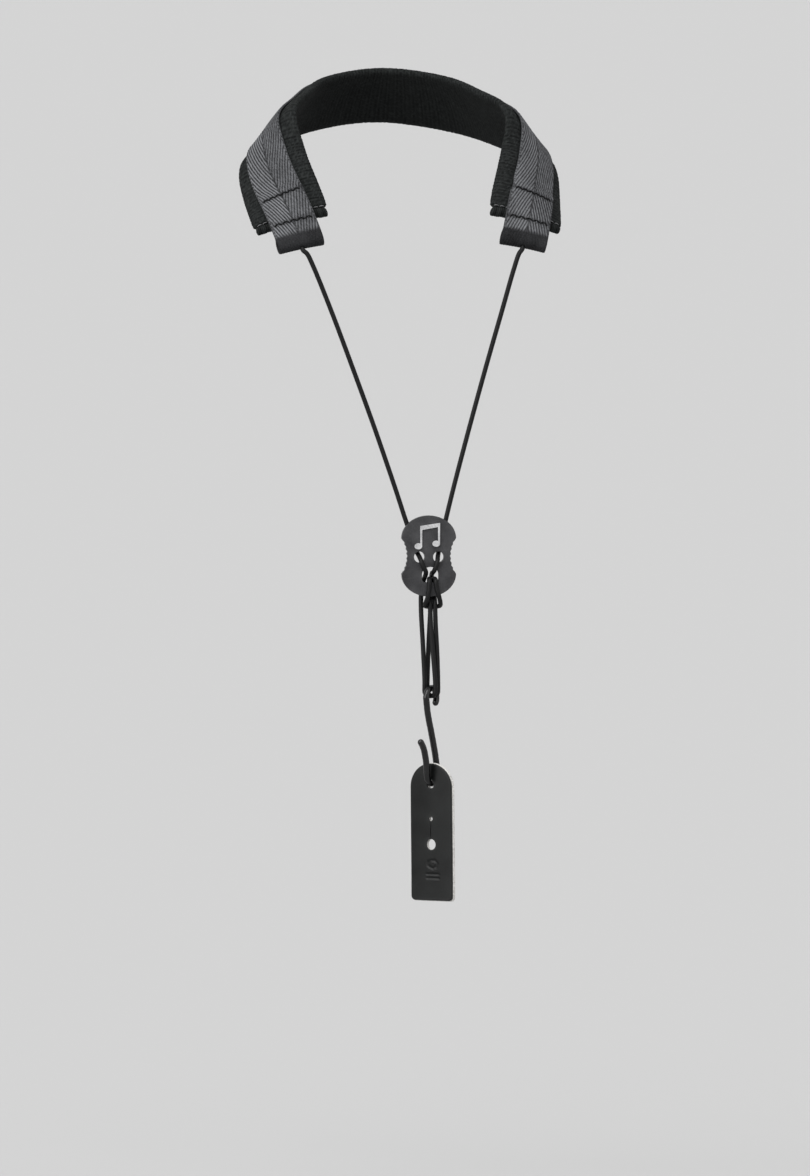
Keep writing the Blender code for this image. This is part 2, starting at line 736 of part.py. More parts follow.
def keyhole_outline():
    """A large hole and a small one above it, joined by a narrow slit."""
    small = TAB_SMALL_HOLE_DIAMETER / 2
    large = TAB_LARGE_HOLE_DIAMETER / 2
    slit = TAB_SLIT_WIDTH / 2
    small_gap = math.asin(slit / small)
    large_gap = math.asin(slit / large)
    outline = []
    for t in np.linspace(-math.pi / 2 + small_gap, 1.5 * math.pi - small_gap, 17):
        outline.append((small * math.cos(t), small * math.sin(t) - TAB_SMALL_HOLE_DROP))
    for t in np.linspace(math.pi / 2 + large_gap, 2.5 * math.pi - large_gap, 25):
        outline.append((large * math.cos(t), large * math.sin(t) - TAB_LARGE_HOLE_DROP))
    return outline


def make_tab():
    """The tab's two layers, hanging on the lowest point of the hook with the wire in their top hole."""
    bend_bottom = BEND_HEIGHT - LOOP_WIRE_RADIUS
    hang = TAB_HOLE_DIAMETER / 2 - SLEEVE_RADIUS - TAB_HANG_GAP
    total = TAB_LEATHER_THICKNESS + LAYER_GAP + TAB_BACKING_THICKNESS
    layers = (
        ("tab_leather", TAB_LEATHER_THICKNESS, -total / 2 + TAB_LEATHER_THICKNESS / 2, 0.0, "leather"),
        ("tab_backing", TAB_BACKING_THICKNESS, total / 2 - TAB_BACKING_THICKNESS / 2, 0.3 * MM, "backing"),
    )
    for name, thickness, along, grow, finish in layers:
        outlines = [tab_outline(grow), circle((0.0, 0.0), TAB_HOLE_DIAMETER / 2, 24), keyhole_outline()]
        layer = flat_outline(name, outlines, thickness, finishes[finish])
        layer.data.transform(Matrix.Translation((0.0, 0.0, -hang)))
        layer.location = hook_point(0.0, BEND_ALONG + along, bend_bottom)
        layer.rotation_euler = (0.0, 0.0, HOOK_TURN)


# ---------------------------------------------------------------- build

clear_scene()
strap = new_collection("neck_strap")
cutters = new_collection("cutters")
finishes = {
    "knit": material("black_knit", (0.018, 0.019, 0.019), 0.95),
    "foam": material("black_foam", (0.03, 0.03, 0.03), 0.9),
    "webbing": material("grey_herringbone", (0.09, 0.09, 0.095), 0.8),
    "thread": material("black_thread", (0.01, 0.01, 0.01), 0.7),
    "cord": material("black_cord", (0.012, 0.012, 0.012), 0.75),
    "plastic": material("charcoal_plastic", (0.045, 0.045, 0.047), 0.55),
    "silver": material("silver_metal", (0.75, 0.75, 0.76), 0.3, 1.0),
    "steel": material("hook_steel", (0.5, 0.5, 0.5), 0.35, 1.0),
    "sleeve": material("glossy_sleeve", (0.012, 0.012, 0.012), 0.2),
    "leather": material("black_leather", (0.015, 0.016, 0.016), 0.45),
    "backing": material("pale_backing", (0.55, 0.54, 0.52), 0.85),
}

make_flat_layer(
    "pad_lining", PAD_HALF_LENGTH, PAD_WIDTH - 2 * COVER_THICKNESS - 2 * LAYER_GAP, 0.0, LINING_THICKNESS,
    finishes["knit"],
)
make_flat_layer(
    "pad_foam_core", PAD_HALF_LENGTH - FOAM_INSET, PAD_WIDTH - 2 * FOAM_INSET, FOAM_BASE, FOAM_THICKNESS,
    finishes["foam"],
)
make_cover()
make_webbing()
for band_side, band_label in ((-1, "left"), (1, "right")):
    make_hem("pad_end_hem_" + band_label, band_side)
    make_knot("cord_knot_" + band_label, band_side)
    for row_label, row_place in zip(("upper", "lower"), STITCH_ROW_PLACES):
        make_stitch_row(f"stitch_row_{row_label}_{band_label}", band_side, row_place)
make_cords()
make_bights()
make_slider()
make_emblem()
make_hook()
make_tab()
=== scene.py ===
"""Looks of the wind-instrument neck strap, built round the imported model.

Metres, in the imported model's frame: +Z up, the front is -Y, left and right are as seen from the front.
Lists of places are written in millimetres and multiplied by MM.
"""

import math

import bmesh
import bpy
import numpy as np
from mathutils import Matrix, Vector


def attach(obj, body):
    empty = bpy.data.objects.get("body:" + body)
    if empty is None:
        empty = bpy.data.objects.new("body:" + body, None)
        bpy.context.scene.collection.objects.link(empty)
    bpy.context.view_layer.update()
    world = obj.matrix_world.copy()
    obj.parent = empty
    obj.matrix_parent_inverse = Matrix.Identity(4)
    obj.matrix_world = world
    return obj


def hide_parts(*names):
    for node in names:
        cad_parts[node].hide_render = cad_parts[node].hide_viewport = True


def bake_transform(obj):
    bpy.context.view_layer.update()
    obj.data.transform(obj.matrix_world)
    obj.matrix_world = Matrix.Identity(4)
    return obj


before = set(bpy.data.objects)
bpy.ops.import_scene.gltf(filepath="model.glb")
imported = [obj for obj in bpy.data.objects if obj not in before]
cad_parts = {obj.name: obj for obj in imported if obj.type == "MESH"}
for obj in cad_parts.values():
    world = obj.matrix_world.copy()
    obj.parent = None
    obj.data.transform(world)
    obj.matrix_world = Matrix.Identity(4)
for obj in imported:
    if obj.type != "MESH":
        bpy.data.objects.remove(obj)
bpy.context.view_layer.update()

MM = 0.001

# ---------------------------------------------------------------- the CAD's dimensions, repeated

PAD_WIDTH = 44.0 * MM
PAD_HALF_LENGTH = 171.0 * MM
PAD_CROWN = 2.5 * MM
COVER_TOP = 5.7 * MM
HEM_RADIUS = 2.25 * MM
WEBBING_WIDTH = 26.0 * MM
WEBBING_THICKNESS = 1.5 * MM
WEBBING_LOW = 6.8 * MM
WEBBING_HIGH = 8.65 * MM
LOOP_CENTRE = PAD_HALF_LENGTH + 17.5 * MM
LOOP_RADIUS = 3.6 * MM
LOOP_HEIGHT = WEBBING_HIGH - LOOP_RADIUS
STEP_START = PAD_HALF_LENGTH - 22.0 * MM
STEP_LENGTH = 7.0 * MM
CORD_HOLE_PLACES = (2.95 * MM, 5.6 * MM)
STITCH_ROW_PLACES = (PAD_HALF_LENGTH - 13.0 * MM, PAD_HALF_LENGTH + 6.5 * MM)
STITCH_ROW_LENGTH = 22.0 * MM
BAND_STATIONS = (
    ((0.0, 0.0, 0.0), (0.0, 28.3, -28.3)),
    ((38.5, -15.1, -5.2), (12.2, 22.6, -30.2)),
    ((58.0, -49.5, -13.5), (20.0, 10.8, -31.8)),
    ((71.0, -73.5, -22.3), (23.6, 2.5, -32.0)),
    ((73.2, -83.5, -34.3), (25.2, 2.0, -31.0)),
    ((71.4, -92.3, -45.3), (30.0, 5.0, -25.0)),
    ((68.2, -103.8, -57.7), (35.8, 4.2, -16.3)),
    ((64.9, -117.8, -72.1), (38.2, 0.5, -11.0)),
    ((59.3, -131.6, -95.6), (38.8, -6.8, -6.5)),
)
SMOOTHING_REACH = 16

CORD_RADIUS = 1.3 * MM
SLIDER_CENTRE = Vector((8.4, -134.0, -254.0)) * MM
HOOK_TURN = math.radians(-40.0)
EYE_CENTRE = SLIDER_CENTRE + Vector((1.5, 0.0, -79.5)) * MM
SLEEVE_RADIUS = 1.8 * MM
LOOP_WIRE_RADIUS = 5.4 * MM
BEND_HEIGHT = -42.8 * MM
BEND_ALONG = 0.6 * MM
TAB_WIDTH = 27.0 * MM
TAB_LENGTH = 77.0 * MM
TAB_TOP_ABOVE_HOLE = 11.5 * MM
TAB_CORNER_RADIUS = 2.5 * MM
TAB_THICKNESS = 2.45 * MM
TAB_LEATHER_SHARE = 0.42
TAB_HOLE_DIAMETER = 5.0 * MM
TAB_HANG = 0.2 * MM
TAB_SMALL_HOLE = (2.6 * MM, -19.6 * MM)
TAB_LARGE_HOLE = (6.2 * MM, -34.0 * MM)
TAB_SLIT_WIDTH = 0.5 * MM

# Routes of the cords (mm): the neck cords in the object's frame, the others from the slider's centre.
NECK_LEFT = (
    (-59.9, -130.7, -84.4), (-56.6, -130.7, -91.0), (-46.4, -130.7, -116.0), (-33.7, -130.7, -149.6),
    (-21.4, -130.7, -183.2), (-9.8, -130.7, -216.8), (-3.9, -130.7, -234.7),
)
NECK_RIGHT = (
    (60.2, -130.7, -84.8), (57.2, -130.7, -93.5), (50.7, -130.7, -116.0), (41.0, -130.7, -149.6),
    (31.7, -130.7, -183.2), (22.8, -130.7, -216.8), (18.4, -130.7, -234.7),
)
FRONT_LEFT = (
    (-9.13, 3.3, 10.6), (-7.3, 3.35, 5.4), (-6.1, 2.85, 1.9), (-5.2, 0.0, -0.5), (-4.6, -2.95, -2.8),
    (-3.6, -3.5, -5.6), (-2.2, -2.8, -8.2), (-1.6, 0.0, -10.0), (-1.8, 2.8, -12.0), (-2.7, 3.6, -15.0),
)
FRONT_RIGHT = (
    (8.02, 3.3, 10.6), (6.9, 3.35, 5.4), (6.0, 2.85, 1.9), (5.2, 0.0, -0.5), (4.5, -2.95, -2.8),
    (3.7, -3.5, -5.6), (2.8, -2.8, -8.0), (2.4, 0.0, -9.3), (2.4, 3.2, -9.8), (2.5, 5.9, -12.0),
    (2.6, 6.7, -15.0),
)
RUNNING_LEFT = (
    (-2.7, 3.6, -15.0), (-3.7, 3.6, -22.0), (-3.8, 3.5, -30.0), (-2.9, 2.3, -50.0), (-2.1, 1.15, -70.0),
)
RUNNING_RIGHT = (
    (2.6, 6.7, -15.0), (2.4, 6.7, -22.0), (2.0, 6.5, -30.0), (0.7, 4.9, -50.0), (-0.2, 3.37, -70.0),
)
FIXED_LEFT = ((1.1, -0.7, -38.0), (2.1, -2.3, -54.0), (3.2, -3.37, -70.0))
FIXED_RIGHT = ((3.95, 0.0, -38.0), (4.7, -0.6, -54.0), (5.1, -1.15, -70.0))
HITCH = (
    (0.85, 0.0, -30.0), (0.85, 0.1, -27.3), (0.85, 1.0, -25.4), (0.85, 2.5, -24.0), (0.8, 3.3, -22.0),
    (0.8, 3.5, -18.0), (0.7, 2.9, -13.8), (0.4, 0.0, -12.8), (0.0, -2.9, -13.8), (-0.3, -3.5, -18.0),
    (-0.8, -3.5, -22.0), (-1.7, -2.2, -25.5), (-2.0, 0.4, -27.8), (-0.7, 2.8, -28.4), (2.25, 3.4, -28.5),
    (5.2, 2.8, -28.4), (6.55, 0.4, -27.8), (6.2, -2.2, -25.5), (5.2, -3.5, -22.0), (4.1, -3.5, -18.0),
    (3.6, -2.9, -13.8), (3.4, 0.0, -12.8), (3.6, 2.9, -13.8), (3.7, 3.5, -18.0), (3.7, 3.3, -22.0),
    (3.7, 2.5, -24.0), (3.7, 1.0, -25.4), (3.7, 0.1, -27.3), (3.7, 0.0, -30.0),
)
BIGHT_OFFSET = 1.45 * MM
BIGHT = ((-3.5, 4.2), (-3.4, 3.0), (-2.4, 1.6), (0.0, 1.0), (2.4, 1.6), (3.4, 3.0), (3.5, 4.2))

# ---------------------------------------------------------------- curves and the band's shape


def between(first, last, start, end, t):
    return (first * (end - t) + last * (t - start)) / (end - start)


def smooth_curve(points, steps):
    """Points on a Catmull-Rom curve through the given points, its knots spaced by the chords' roots."""
    points = np.asarray(points, float)
    padded = np.vstack([2 * points[0] - points[1], points, 2 * points[-1] - points[-2]])
    chords = np.linalg.norm(np.diff(padded[:, :3], axis=0), axis=1)
    knots = np.concatenate([[0.0], np.cumsum(np.sqrt(chords))])
    curve = []
    for i in range(1, len(padded) - 2):
        p = padded[i - 1 : i + 3]
        k = knots[i - 1 : i + 3]
        for t in np.linspace(k[1], k[2], steps, endpoint=False):
            a = [between(p[j], p[j + 1], k[j], k[j + 1], t) for j in range(3)]
            b = [between(a[j], a[j + 1], k[j], k[j + 2], t) for j in range(2)]
            curve.append(between(b[0], b[1], k[1], k[2], t))
    curve.append(points[-1])
    return np.array(curve)


def travel_along(points):
    return np.concatenate([[0.0], np.cumsum(np.linalg.norm(np.diff(points, axis=0), axis=1))])


def even_points(curve, spacing):
    """Points a constant distance apart along a dense curve."""
    lengths = travel_along(curve)
    places = np.linspace(0.0, lengths[-1], max(3, int(round(lengths[-1] / spacing)) + 1))
    return np.column_stack([np.interp(places, lengths, column) for column in curve.T])


def smoothstep(x):
    x = np.clip(x, 0.0, 1.0)
    return x * x * (3 - 2 * x)


def unit(vectors):
    return vectors / np.linalg.norm(vectors, axis=-1, keepdims=True)


def band_table():
    """Lengths, middle points and across directions along the band's right half, every millimetre."""
    rows = np.array([(*centre, *across) for centre, across in BAND_STATIONS])
    mirror = np.array((-1, 1, 1, -1, 1, 1))
    dense = smooth_curve(np.vstack([rows[:0:-1] * mirror, rows]), 40)
    travel = travel_along(dense[:, :3])
    places = np.arange(0.0, travel[-1])
    even = np.column_stack([np.interp(places, travel, column) for column in dense.T])
    reach = SMOOTHING_REACH
    before = 2 * even[0] - even[reach:0:-1]
    after = 2 * even[-1] - even[-2 : -reach - 2 : -1]
    window = np.hanning(2 * reach + 3)[1:-1]
    window /= window.sum()
    padded = np.vstack([before, even, after])
    smooth = np.column_stack([np.convolve(column, window, "valid") for column in padded.T])
    right = smooth[int(np.argmin(np.abs(smooth[:, 0]))) :]
    right[0, 0] = 0.0
    centres = right[:, :3] * MM
    return travel_along(centres), centres, right[:, 3:]


BAND_LENGTHS, BAND_CENTRES, BAND_ACROSS = band_table()
FRAME_STEP = 2.0 * MM


def along_band(values, s):
    return np.stack([np.interp(s, BAND_LENGTHS, values[:, axis]) for axis in range(3)], axis=-1)


def band_places(s, w, h):
    """Places on the band: s along it from the back of the neck, w across it and h off the neck."""
    s, w, h = np.broadcast_arrays(s, w, h)
    reach = np.abs(s)
    centre = along_band(BAND_CENTRES, reach)
    behind = along_band(BAND_CENTRES, np.maximum(reach - FRAME_STEP, 0.0))
    ahead = along_band(BAND_CENTRES, reach + FRAME_STEP) - behind
    ahead[reach < FRAME_STEP] = (1.0, 0.0, 0.0)
    ahead = unit(ahead)
    across = along_band(BAND_ACROSS, reach)
    across = unit(across - ahead * np.sum(across * ahead, axis=-1, keepdims=True))
    outward = np.cross(ahead, across)
    crown = PAD_CROWN * (2 * w / PAD_WIDTH) ** 2
    places = centre + across * w[..., None] + outward * (h - crown)[..., None]
    places[..., 0] *= np.where(s < 0, -1.0, 1.0)
    return places


def hook_places(points):
    """Places near the hook, given across its plane, along it (backwards) and up, from the eye's centre."""
    turned = Matrix.Rotation(HOOK_TURN, 3, "Z")
    return np.array([EYE_CENTRE + turned @ Vector(point) for point in points])


# ---------------------------------------------------------------- meshes


def mesh_object(name, corners, faces, pattern=None):
    mesh = bpy.data.meshes.new(name)
    mesh.from_pydata(np.asarray(corners).tolist(), [], faces)
    work = bmesh.new()
    work.from_mesh(mesh)
    bmesh.ops.recalc_face_normals(work, faces=work.faces)
    work.to_mesh(mesh)
    work.free()
    mesh.shade_smooth()
    made = bpy.data.objects.new(name, mesh)
    bpy.context.scene.collection.objects.link(made)
    if pattern is not None:
        set_pattern(mesh, pattern)
    return made


def set_pattern(mesh, values):
    attribute = mesh.attributes.get("pattern") or mesh.attributes.new("pattern", "FLOAT", "POINT")
    attribute.data.foreach_set("value", np.asarray(values, np.float32).ravel())


def ring_faces(rows, sides, first=0):
    """Faces of a closed tube of rings, with a cap at each end."""
    corner = first + np.arange(rows * sides).reshape(rows, sides)
    a = corner[:-1]
    b = np.roll(corner, -1, axis=1)[:-1]
    c = np.roll(corner, -1, axis=1)[1:]
    d = corner[1:]
    faces = np.stack([a, b, c, d], axis=-1).reshape(-1, 4).tolist()
    return faces + [corner[0, ::-1].tolist(), corner[-1].tolist()]


def path_frames(points):
    """Two directions square to the path at each point, turning as little as they can."""
    tangents = unit(np.gradient(points, axis=0))
    start = np.array((0.0, 1.0, 0.0)) if abs(tangents[0, 1]) < 0.9 else np.array((1.0, 0.0, 0.0))
    normals = np.zeros_like(points)
    for i, tangent in enumerate(tangents):
        start = start - tangent * start.dot(tangent)
        start /= np.linalg.norm(start)
        normals[i] = start
    return normals, np.cross(tangents, normals)


ROUND_END_LIMIT = 0.985


def tube_corners(points, radius, sides, relief=None, round_ends=False):
    """Corners and pattern values of a tube. relief(travel, angle) gives its extra radius and its pattern."""
    travel = travel_along(points)[:, None]
    angles = (2 * math.pi * np.arange(sides) / sides)[None, :]
    extra, pattern = relief(travel, angles) if relief else (0.0 * travel * angles, 0.0 * travel * angles)
    radii = radius + extra
    if round_ends:
        near = np.minimum(travel, travel[-1] - travel)
        short = np.clip(1.0 - near / radius, 0.0, ROUND_END_LIMIT)
        radii = radii * np.sqrt(1.0 - short**2)
    one, other = path_frames(points)
    turned = one[:, None] * np.cos(angles)[..., None] + other[:, None] * np.sin(angles)[..., None]
    return (points[:, None] + turned * radii[..., None]).reshape(-1, 3), pattern


def tube(name, points, radius, sides, relief=None, round_ends=False):
    corners, pattern = tube_corners(points, radius, sides, relief, round_ends)
    return mesh_object(name, corners, ring_faces(len(points), sides), pattern)


THREAD_RING_SPACING = 0.7


def threads(name, paths, radius, sides=8):
    """Many short pieces of thread as one mesh."""
    corners, faces, first = [], [], 0
    for path in paths:
        points = even_points(smooth_curve(path, 8), radius * THREAD_RING_SPACING)
        made, _ = tube_corners(points, radius, sides, round_ends=True)
        faces += ring_faces(len(points), sides, first)
        corners.append(made)
        first += len(made)
    corners = np.vstack(corners)
    return mesh_object(name, corners, faces, np.zeros(len(corners)))


def cylinder(name, centre, radius, length, axis_matrix, segments=48):
    mesh = bpy.data.meshes.new(name)
    work = bmesh.new()
    bmesh.ops.create_cone(
        work, cap_ends=True, segments=segments, radius1=radius, radius2=radius, depth=length
    )
    bmesh.ops.transform(work, matrix=axis_matrix, verts=work.verts)
    work.to_mesh(mesh)
    work.free()
    made = bpy.data.objects.new(name, mesh)
    bpy.context.scene.collection.objects.link(made)
    made.location = centre
    return made


def applied(target):
    """The object's mesh with its modifiers applied, in place of them."""
    bpy.context.view_layer.update()
    depsgraph = bpy.context.evaluated_depsgraph_get()
    mesh = bpy.data.meshes.new_from_object(target.evaluated_get(depsgraph))
    target.modifiers.clear()
    target.data = mesh
    return target


def mesh_places(mesh):
    places = np.zeros(len(mesh.vertices) * 3)
    mesh.vertices.foreach_get("co", places)
    return places.reshape(-1, 3)


def set_places(mesh, places):
    mesh.vertices.foreach_set("co", np.asarray(places, np.float32).ravel())
    mesh.update()


# ---------------------------------------------------------------- materials


def add_node(tree, kind, **settings):
    node = tree.nodes.new(kind)
    for key, value in settings.items():
        setattr(node, key, value)
    return node


def arithmetic(tree, operation, first, second):
    node = add_node(tree, "ShaderNodeMath", operation=operation)
    for socket, value in zip(node.inputs, (first, second)):
        if isinstance(value, (int, float)):
            socket.default_value = value
        else:
            tree.links.new(value, socket)
    return node.outputs[0]


def noise(tree, place, scale, detail=4.0):
    node = add_node(tree, "ShaderNodeTexNoise")
    node.inputs["Scale"].default_value = scale
    node.inputs["Detail"].default_value = detail
    tree.links.new(place, node.inputs["Vector"])
    return node.outputs["Fac"]


NOISE_LOW = 0.35
NOISE_HIGH = 0.65
PATTERN_IN_BUMP = 0.6
PATCH_DETAIL = 2.0


def finish(
    name, dark, light, roughness, grain, grain_share=0.5, pattern_share=0.0, bump=0.4, bump_depth=0.2 * MM,
    patches=45.0, patch_share=0.3, roughness_spread=0.16, **sockets
):
    """A material whose colour, roughness and bump come from grain, larger patches and the mesh's pattern.

    grain and patches are the scales of the fine and the wide noise, and the shares say how much each counts
    in the step from the dark to the light colour.
    """
    made = bpy.data.materials.new(name)
    made.use_nodes = True
    tree = made.node_tree
    shader = tree.nodes["Principled BSDF"]
    place = add_node(tree, "ShaderNodeTexCoord").outputs["Object"]
    fine = noise(tree, place, grain)
    wide = noise(tree, place, patches, PATCH_DETAIL)
    amount = arithmetic(tree, "MULTIPLY", fine, grain_share)
    amount = arithmetic(tree, "ADD", amount, arithmetic(tree, "MULTIPLY", wide, patch_share))
    height = fine
    if pattern_share:
        pattern = add_node(tree, "ShaderNodeAttribute", attribute_name="pattern").outputs["Fac"]
        amount = arithmetic(tree, "ADD", amount, arithmetic(tree, "MULTIPLY", pattern, pattern_share))
        height = arithmetic(tree, "ADD", fine, arithmetic(tree, "MULTIPLY", pattern, PATTERN_IN_BUMP))
    low = NOISE_LOW * (grain_share + patch_share)
    high = NOISE_HIGH * (grain_share + patch_share) + pattern_share
    ramp = add_node(tree, "ShaderNodeValToRGB")
    ramp.color_ramp.elements[0].position = low
    ramp.color_ramp.elements[0].color = (*dark, 1.0)
    ramp.color_ramp.elements[1].position = min(1.0, high)
    ramp.color_ramp.elements[1].color = (*light, 1.0)
    tree.links.new(amount, ramp.inputs["Fac"])
    tree.links.new(ramp.outputs["Color"], shader.inputs["Base Color"])
    rough = arithmetic(tree, "MULTIPLY", wide, roughness_spread * 2)
    rough = arithmetic(tree, "ADD", rough, roughness - roughness_spread)
    tree.links.new(rough, shader.inputs["Roughness"])
    relief = add_node(tree, "ShaderNodeBump")
    relief.inputs["Strength"].default_value = bump
    relief.inputs["Distance"].default_value = bump_depth
    tree.links.new(height, relief.inputs["Height"])
    tree.links.new(relief.outputs["Normal"], shader.inputs["Normal"])
    for socket, value in sockets.items():
        shader.inputs[socket.replace("_", " ")].default_value = value
    return made


finishes = {
    "knit": finish(
        "fuzzy_black_knit", (0.001, 0.0012, 0.0012), (0.027, 0.0295, 0.029), roughness=0.95, grain=1300.0,
        grain_share=0.35, pattern_share=0.5, bump=1.0, bump_depth=0.5 * MM, patches=90.0, patch_share=0.15,
        roughness_spread=0.04, Specular_IOR_Level=0.08,
    ),
    "webbing": finish(
        "herringbone_webbing", (0.002, 0.002, 0.0022), (0.2, 0.204, 0.215), roughness=0.75, grain=2200.0,
        grain_share=0.22, pattern_share=0.72, bump=0.7, bump_depth=0.25 * MM, patches=60.0, patch_share=0.14,
        roughness_spread=0.1, Specular_IOR_Level=0.08,
    ),
    "cord": finish(
        "braided_black_cord", (0.0006, 0.0006, 0.0006), (0.009, 0.009, 0.0094), roughness=0.5, grain=2600.0,
        grain_share=0.4, pattern_share=0.6, bump=0.5, bump_depth=0.12 * MM, patches=70.0, patch_share=0.2,
        roughness_spread=0.1, Specular_IOR_Level=0.16,
    ),
    "thread": finish(
        "black_sewing_thread", (0.001, 0.001, 0.001), (0.006, 0.006, 0.0065), roughness=0.6, grain=3500.0,
        grain_share=0.6, bump_depth=0.08 * MM, Specular_IOR_Level=0.1,
    ),
    # The hem's topstitch thread is made pale grey to paint the glint line along the top of the hem: painted
    # highlight.
    "pale_thread_painted_glint": finish(
        "grey_hem_thread_painted_glint", (0.04, 0.04, 0.04), (0.2, 0.2, 0.21), roughness=0.5, grain=3500.0,
        grain_share=0.6, bump_depth=0.08 * MM,
    ),
    "plastic": finish(
        "charcoal_moulded_plastic", (0.017, 0.017, 0.0185), (0.052, 0.052, 0.0545), roughness=0.5,
        grain=1600.0, grain_share=0.45, bump=0.3, bump_depth=0.07 * MM, patches=110.0, patch_share=0.6,
        Specular_IOR_Level=0.25,
    ),
    "silver": finish(
        "polished_silver", (0.62, 0.62, 0.63), (0.95, 0.95, 0.96), roughness=0.3, grain=900.0,
        grain_share=0.4, bump=0.08, bump_depth=0.05 * MM, patches=260.0, roughness_spread=0.1, Metallic=1.0,
    ),
    "sleeve": finish(
        "glossy_black_sleeve", (0.0008, 0.0008, 0.0008), (0.004, 0.004, 0.0045), roughness=0.24, grain=700.0,
        grain_share=0.5, bump=0.12, bump_depth=0.08 * MM, patches=120.0, roughness_spread=0.08,
        Specular_IOR_Level=0.42,
    ),
    "leather": finish(
        "satin_black_leather", (0.0008, 0.001, 0.001), (0.011, 0.012, 0.0117), roughness=0.36, grain=1500.0,
        grain_share=0.4, pattern_share=0.5, bump=0.4, bump_depth=0.1 * MM, patches=55.0, patch_share=0.7,
        roughness_spread=0.12, Specular_IOR_Level=0.2,
    ),
    "suede": finish(
        "pale_suede_backing", (0.3, 0.295, 0.28), (0.7, 0.69, 0.67), roughness=0.9, grain=1800.0,
        grain_share=0.8, bump=0.8, bump_depth=0.25 * MM, patches=120.0, roughness_spread=0.06,
        Specular_IOR_Level=0.2,
    ),
}


def dress(piece, look, body=None, replaces=()):
    """Gives a finished piece its material and its body, and hides the CAD nodes that it stands for."""
    piece.data.materials.clear()
    piece.data.materials.append(finishes[look])
    if body:
        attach(piece, body)
    if replaces:
        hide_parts(*replaces)
    return piece


# ---------------------------------------------------------------- camera

CAMERA_AZIMUTH = math.radians(-8.5)
CAMERA_ELEVATION = math.radians(3.0)
CAMERA_DISTANCE = 12.0
CAMERA_TARGET = Vector((0.0033, -0.0785, -0.2748))
FRONT_OF_TARGET = 0.055
FRAME_HEIGHT = 0.6586
SENSOR_MM = 36.0

camera_data = bpy.data.cameras.new("camera")
camera_data.sensor_width = SENSOR_MM
camera_data.lens = SENSOR_MM * (CAMERA_DISTANCE - FRONT_OF_TARGET) / FRAME_HEIGHT
camera = bpy.data.objects.new("camera", camera_data)
bpy.context.scene.collection.objects.link(camera)
toward_camera = Vector((
    math.sin(CAMERA_AZIMUTH) * math.cos(CAMERA_ELEVATION),
    -math.cos(CAMERA_AZIMUTH) * math.cos(CAMERA_ELEVATION),
    math.sin(CAMERA_ELEVATION),
))
camera.location = CAMERA_TARGET + toward_camera * CAMERA_DISTANCE
camera.rotation_euler = (-toward_camera).to_track_quat("-Z", "Y").to_euler()
bpy.context.scene.camera = camera

# ---------------------------------------------------------------- cords

BRAID_STRANDS = 8
BRAID_STEP = 1.15 * MM
BRAID_DEPTH = 0.13 * MM
CORD_SIDES = 32
CORD_RING_SPACING = 0.34 * MM
BRAID_MEAN = 0.7
BRAID_ROUNDNESS = 0.6


def braid(travel, angle):
    """Relief and pattern of a round braid: strands that wind both ways, over and under each other."""
    around = BRAID_STRANDS * angle / (2 * math.pi)
    climb = travel / BRAID_STEP
    one = around + climb
    other = around - climb
    over = (np.floor(one) + np.floor(other)) % 2 > 0.5
    ridge = np.where(over, np.abs(np.sin(math.pi * one)), np.abs(np.sin(math.pi * other))) ** BRAID_ROUNDNESS
    return BRAID_DEPTH * (ridge - BRAID_MEAN), ridge


def braided_cord(name, points):
    route = even_points(smooth_curve(points, 16), CORD_RING_SPACING)
    made = tube(name, route, CORD_RADIUS, CORD_SIDES, braid)
    dress(made, "cord")
    return made, route


def from_slider(points):
    return np.array(points) * MM + np.array(SLIDER_CENTRE)


def bight(offset):
    return hook_places([(across * MM, offset, up * MM) for across, up in BIGHT])


NECK_CORD_LENGTHS = (0.208, 0.205)

for side, label, neck, front, length in (
    (-1, "left", NECK_LEFT, FRONT_LEFT, NECK_CORD_LENGTHS[0]),
    (1, "right", NECK_RIGHT, FRONT_RIGHT, NECK_CORD_LENGTHS[1]),
):
    in_hole = [band_places(side * (LOOP_CENTRE + past), 0.0, LOOP_HEIGHT) for past in CORD_HOLE_PLACES]
    whole = np.vstack([in_hole, np.array(neck) * MM, from_slider(front)])
    cord, route = braided_cord("neck_braid_" + label, whole)
    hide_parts("neck_cord_" + label, "front_strand_" + label)
    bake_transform(cord)

loop_points = np.vstack([
    from_slider(RUNNING_LEFT),
    bight(-BIGHT_OFFSET),
    from_slider(FIXED_LEFT[::-1]),
    from_slider(HITCH),
    from_slider(FIXED_RIGHT),
    bight(BIGHT_OFFSET)[::-1],
    from_slider(RUNNING_RIGHT[::-1]),
])
hook_cord, loop_route = braided_cord("hook_braid", loop_points)
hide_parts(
    "running_strand_left", "running_strand_right", "fixed_strand_left", "fixed_strand_right",
    "cord_hitch", "cord_bight_front", "cord_bight_back",
)
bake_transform(hook_cord)

KNOT_SIZE = 0.72 * MM
KNOT_CORD_RADIUS = 0.85 * MM
KNOT_SIDES = 16
KNOT_POINTS = 90
for side, label in ((-1, "left"), (1, "right")):
    turns = np.linspace(0, 2 * math.pi, KNOT_POINTS, endpoint=False)
    trefoil = np.column_stack([
        np.sin(turns) + 2 * np.sin(2 * turns), np.cos(turns) - 2 * np.cos(2 * turns), -np.sin(3 * turns),
    ])
    centre = band_places(side * LOOP_CENTRE, 0.0, LOOP_HEIGHT)
    knot_path = np.vstack([trefoil, trefoil[:1]]) * KNOT_SIZE + centre
    knot = tube("end_knot_" + label, knot_path, KNOT_CORD_RADIUS, KNOT_SIDES, braid)
    dress(knot, "cord", "neck_band", ("cord_knot_" + label,))

# ---------------------------------------------------------------- pad

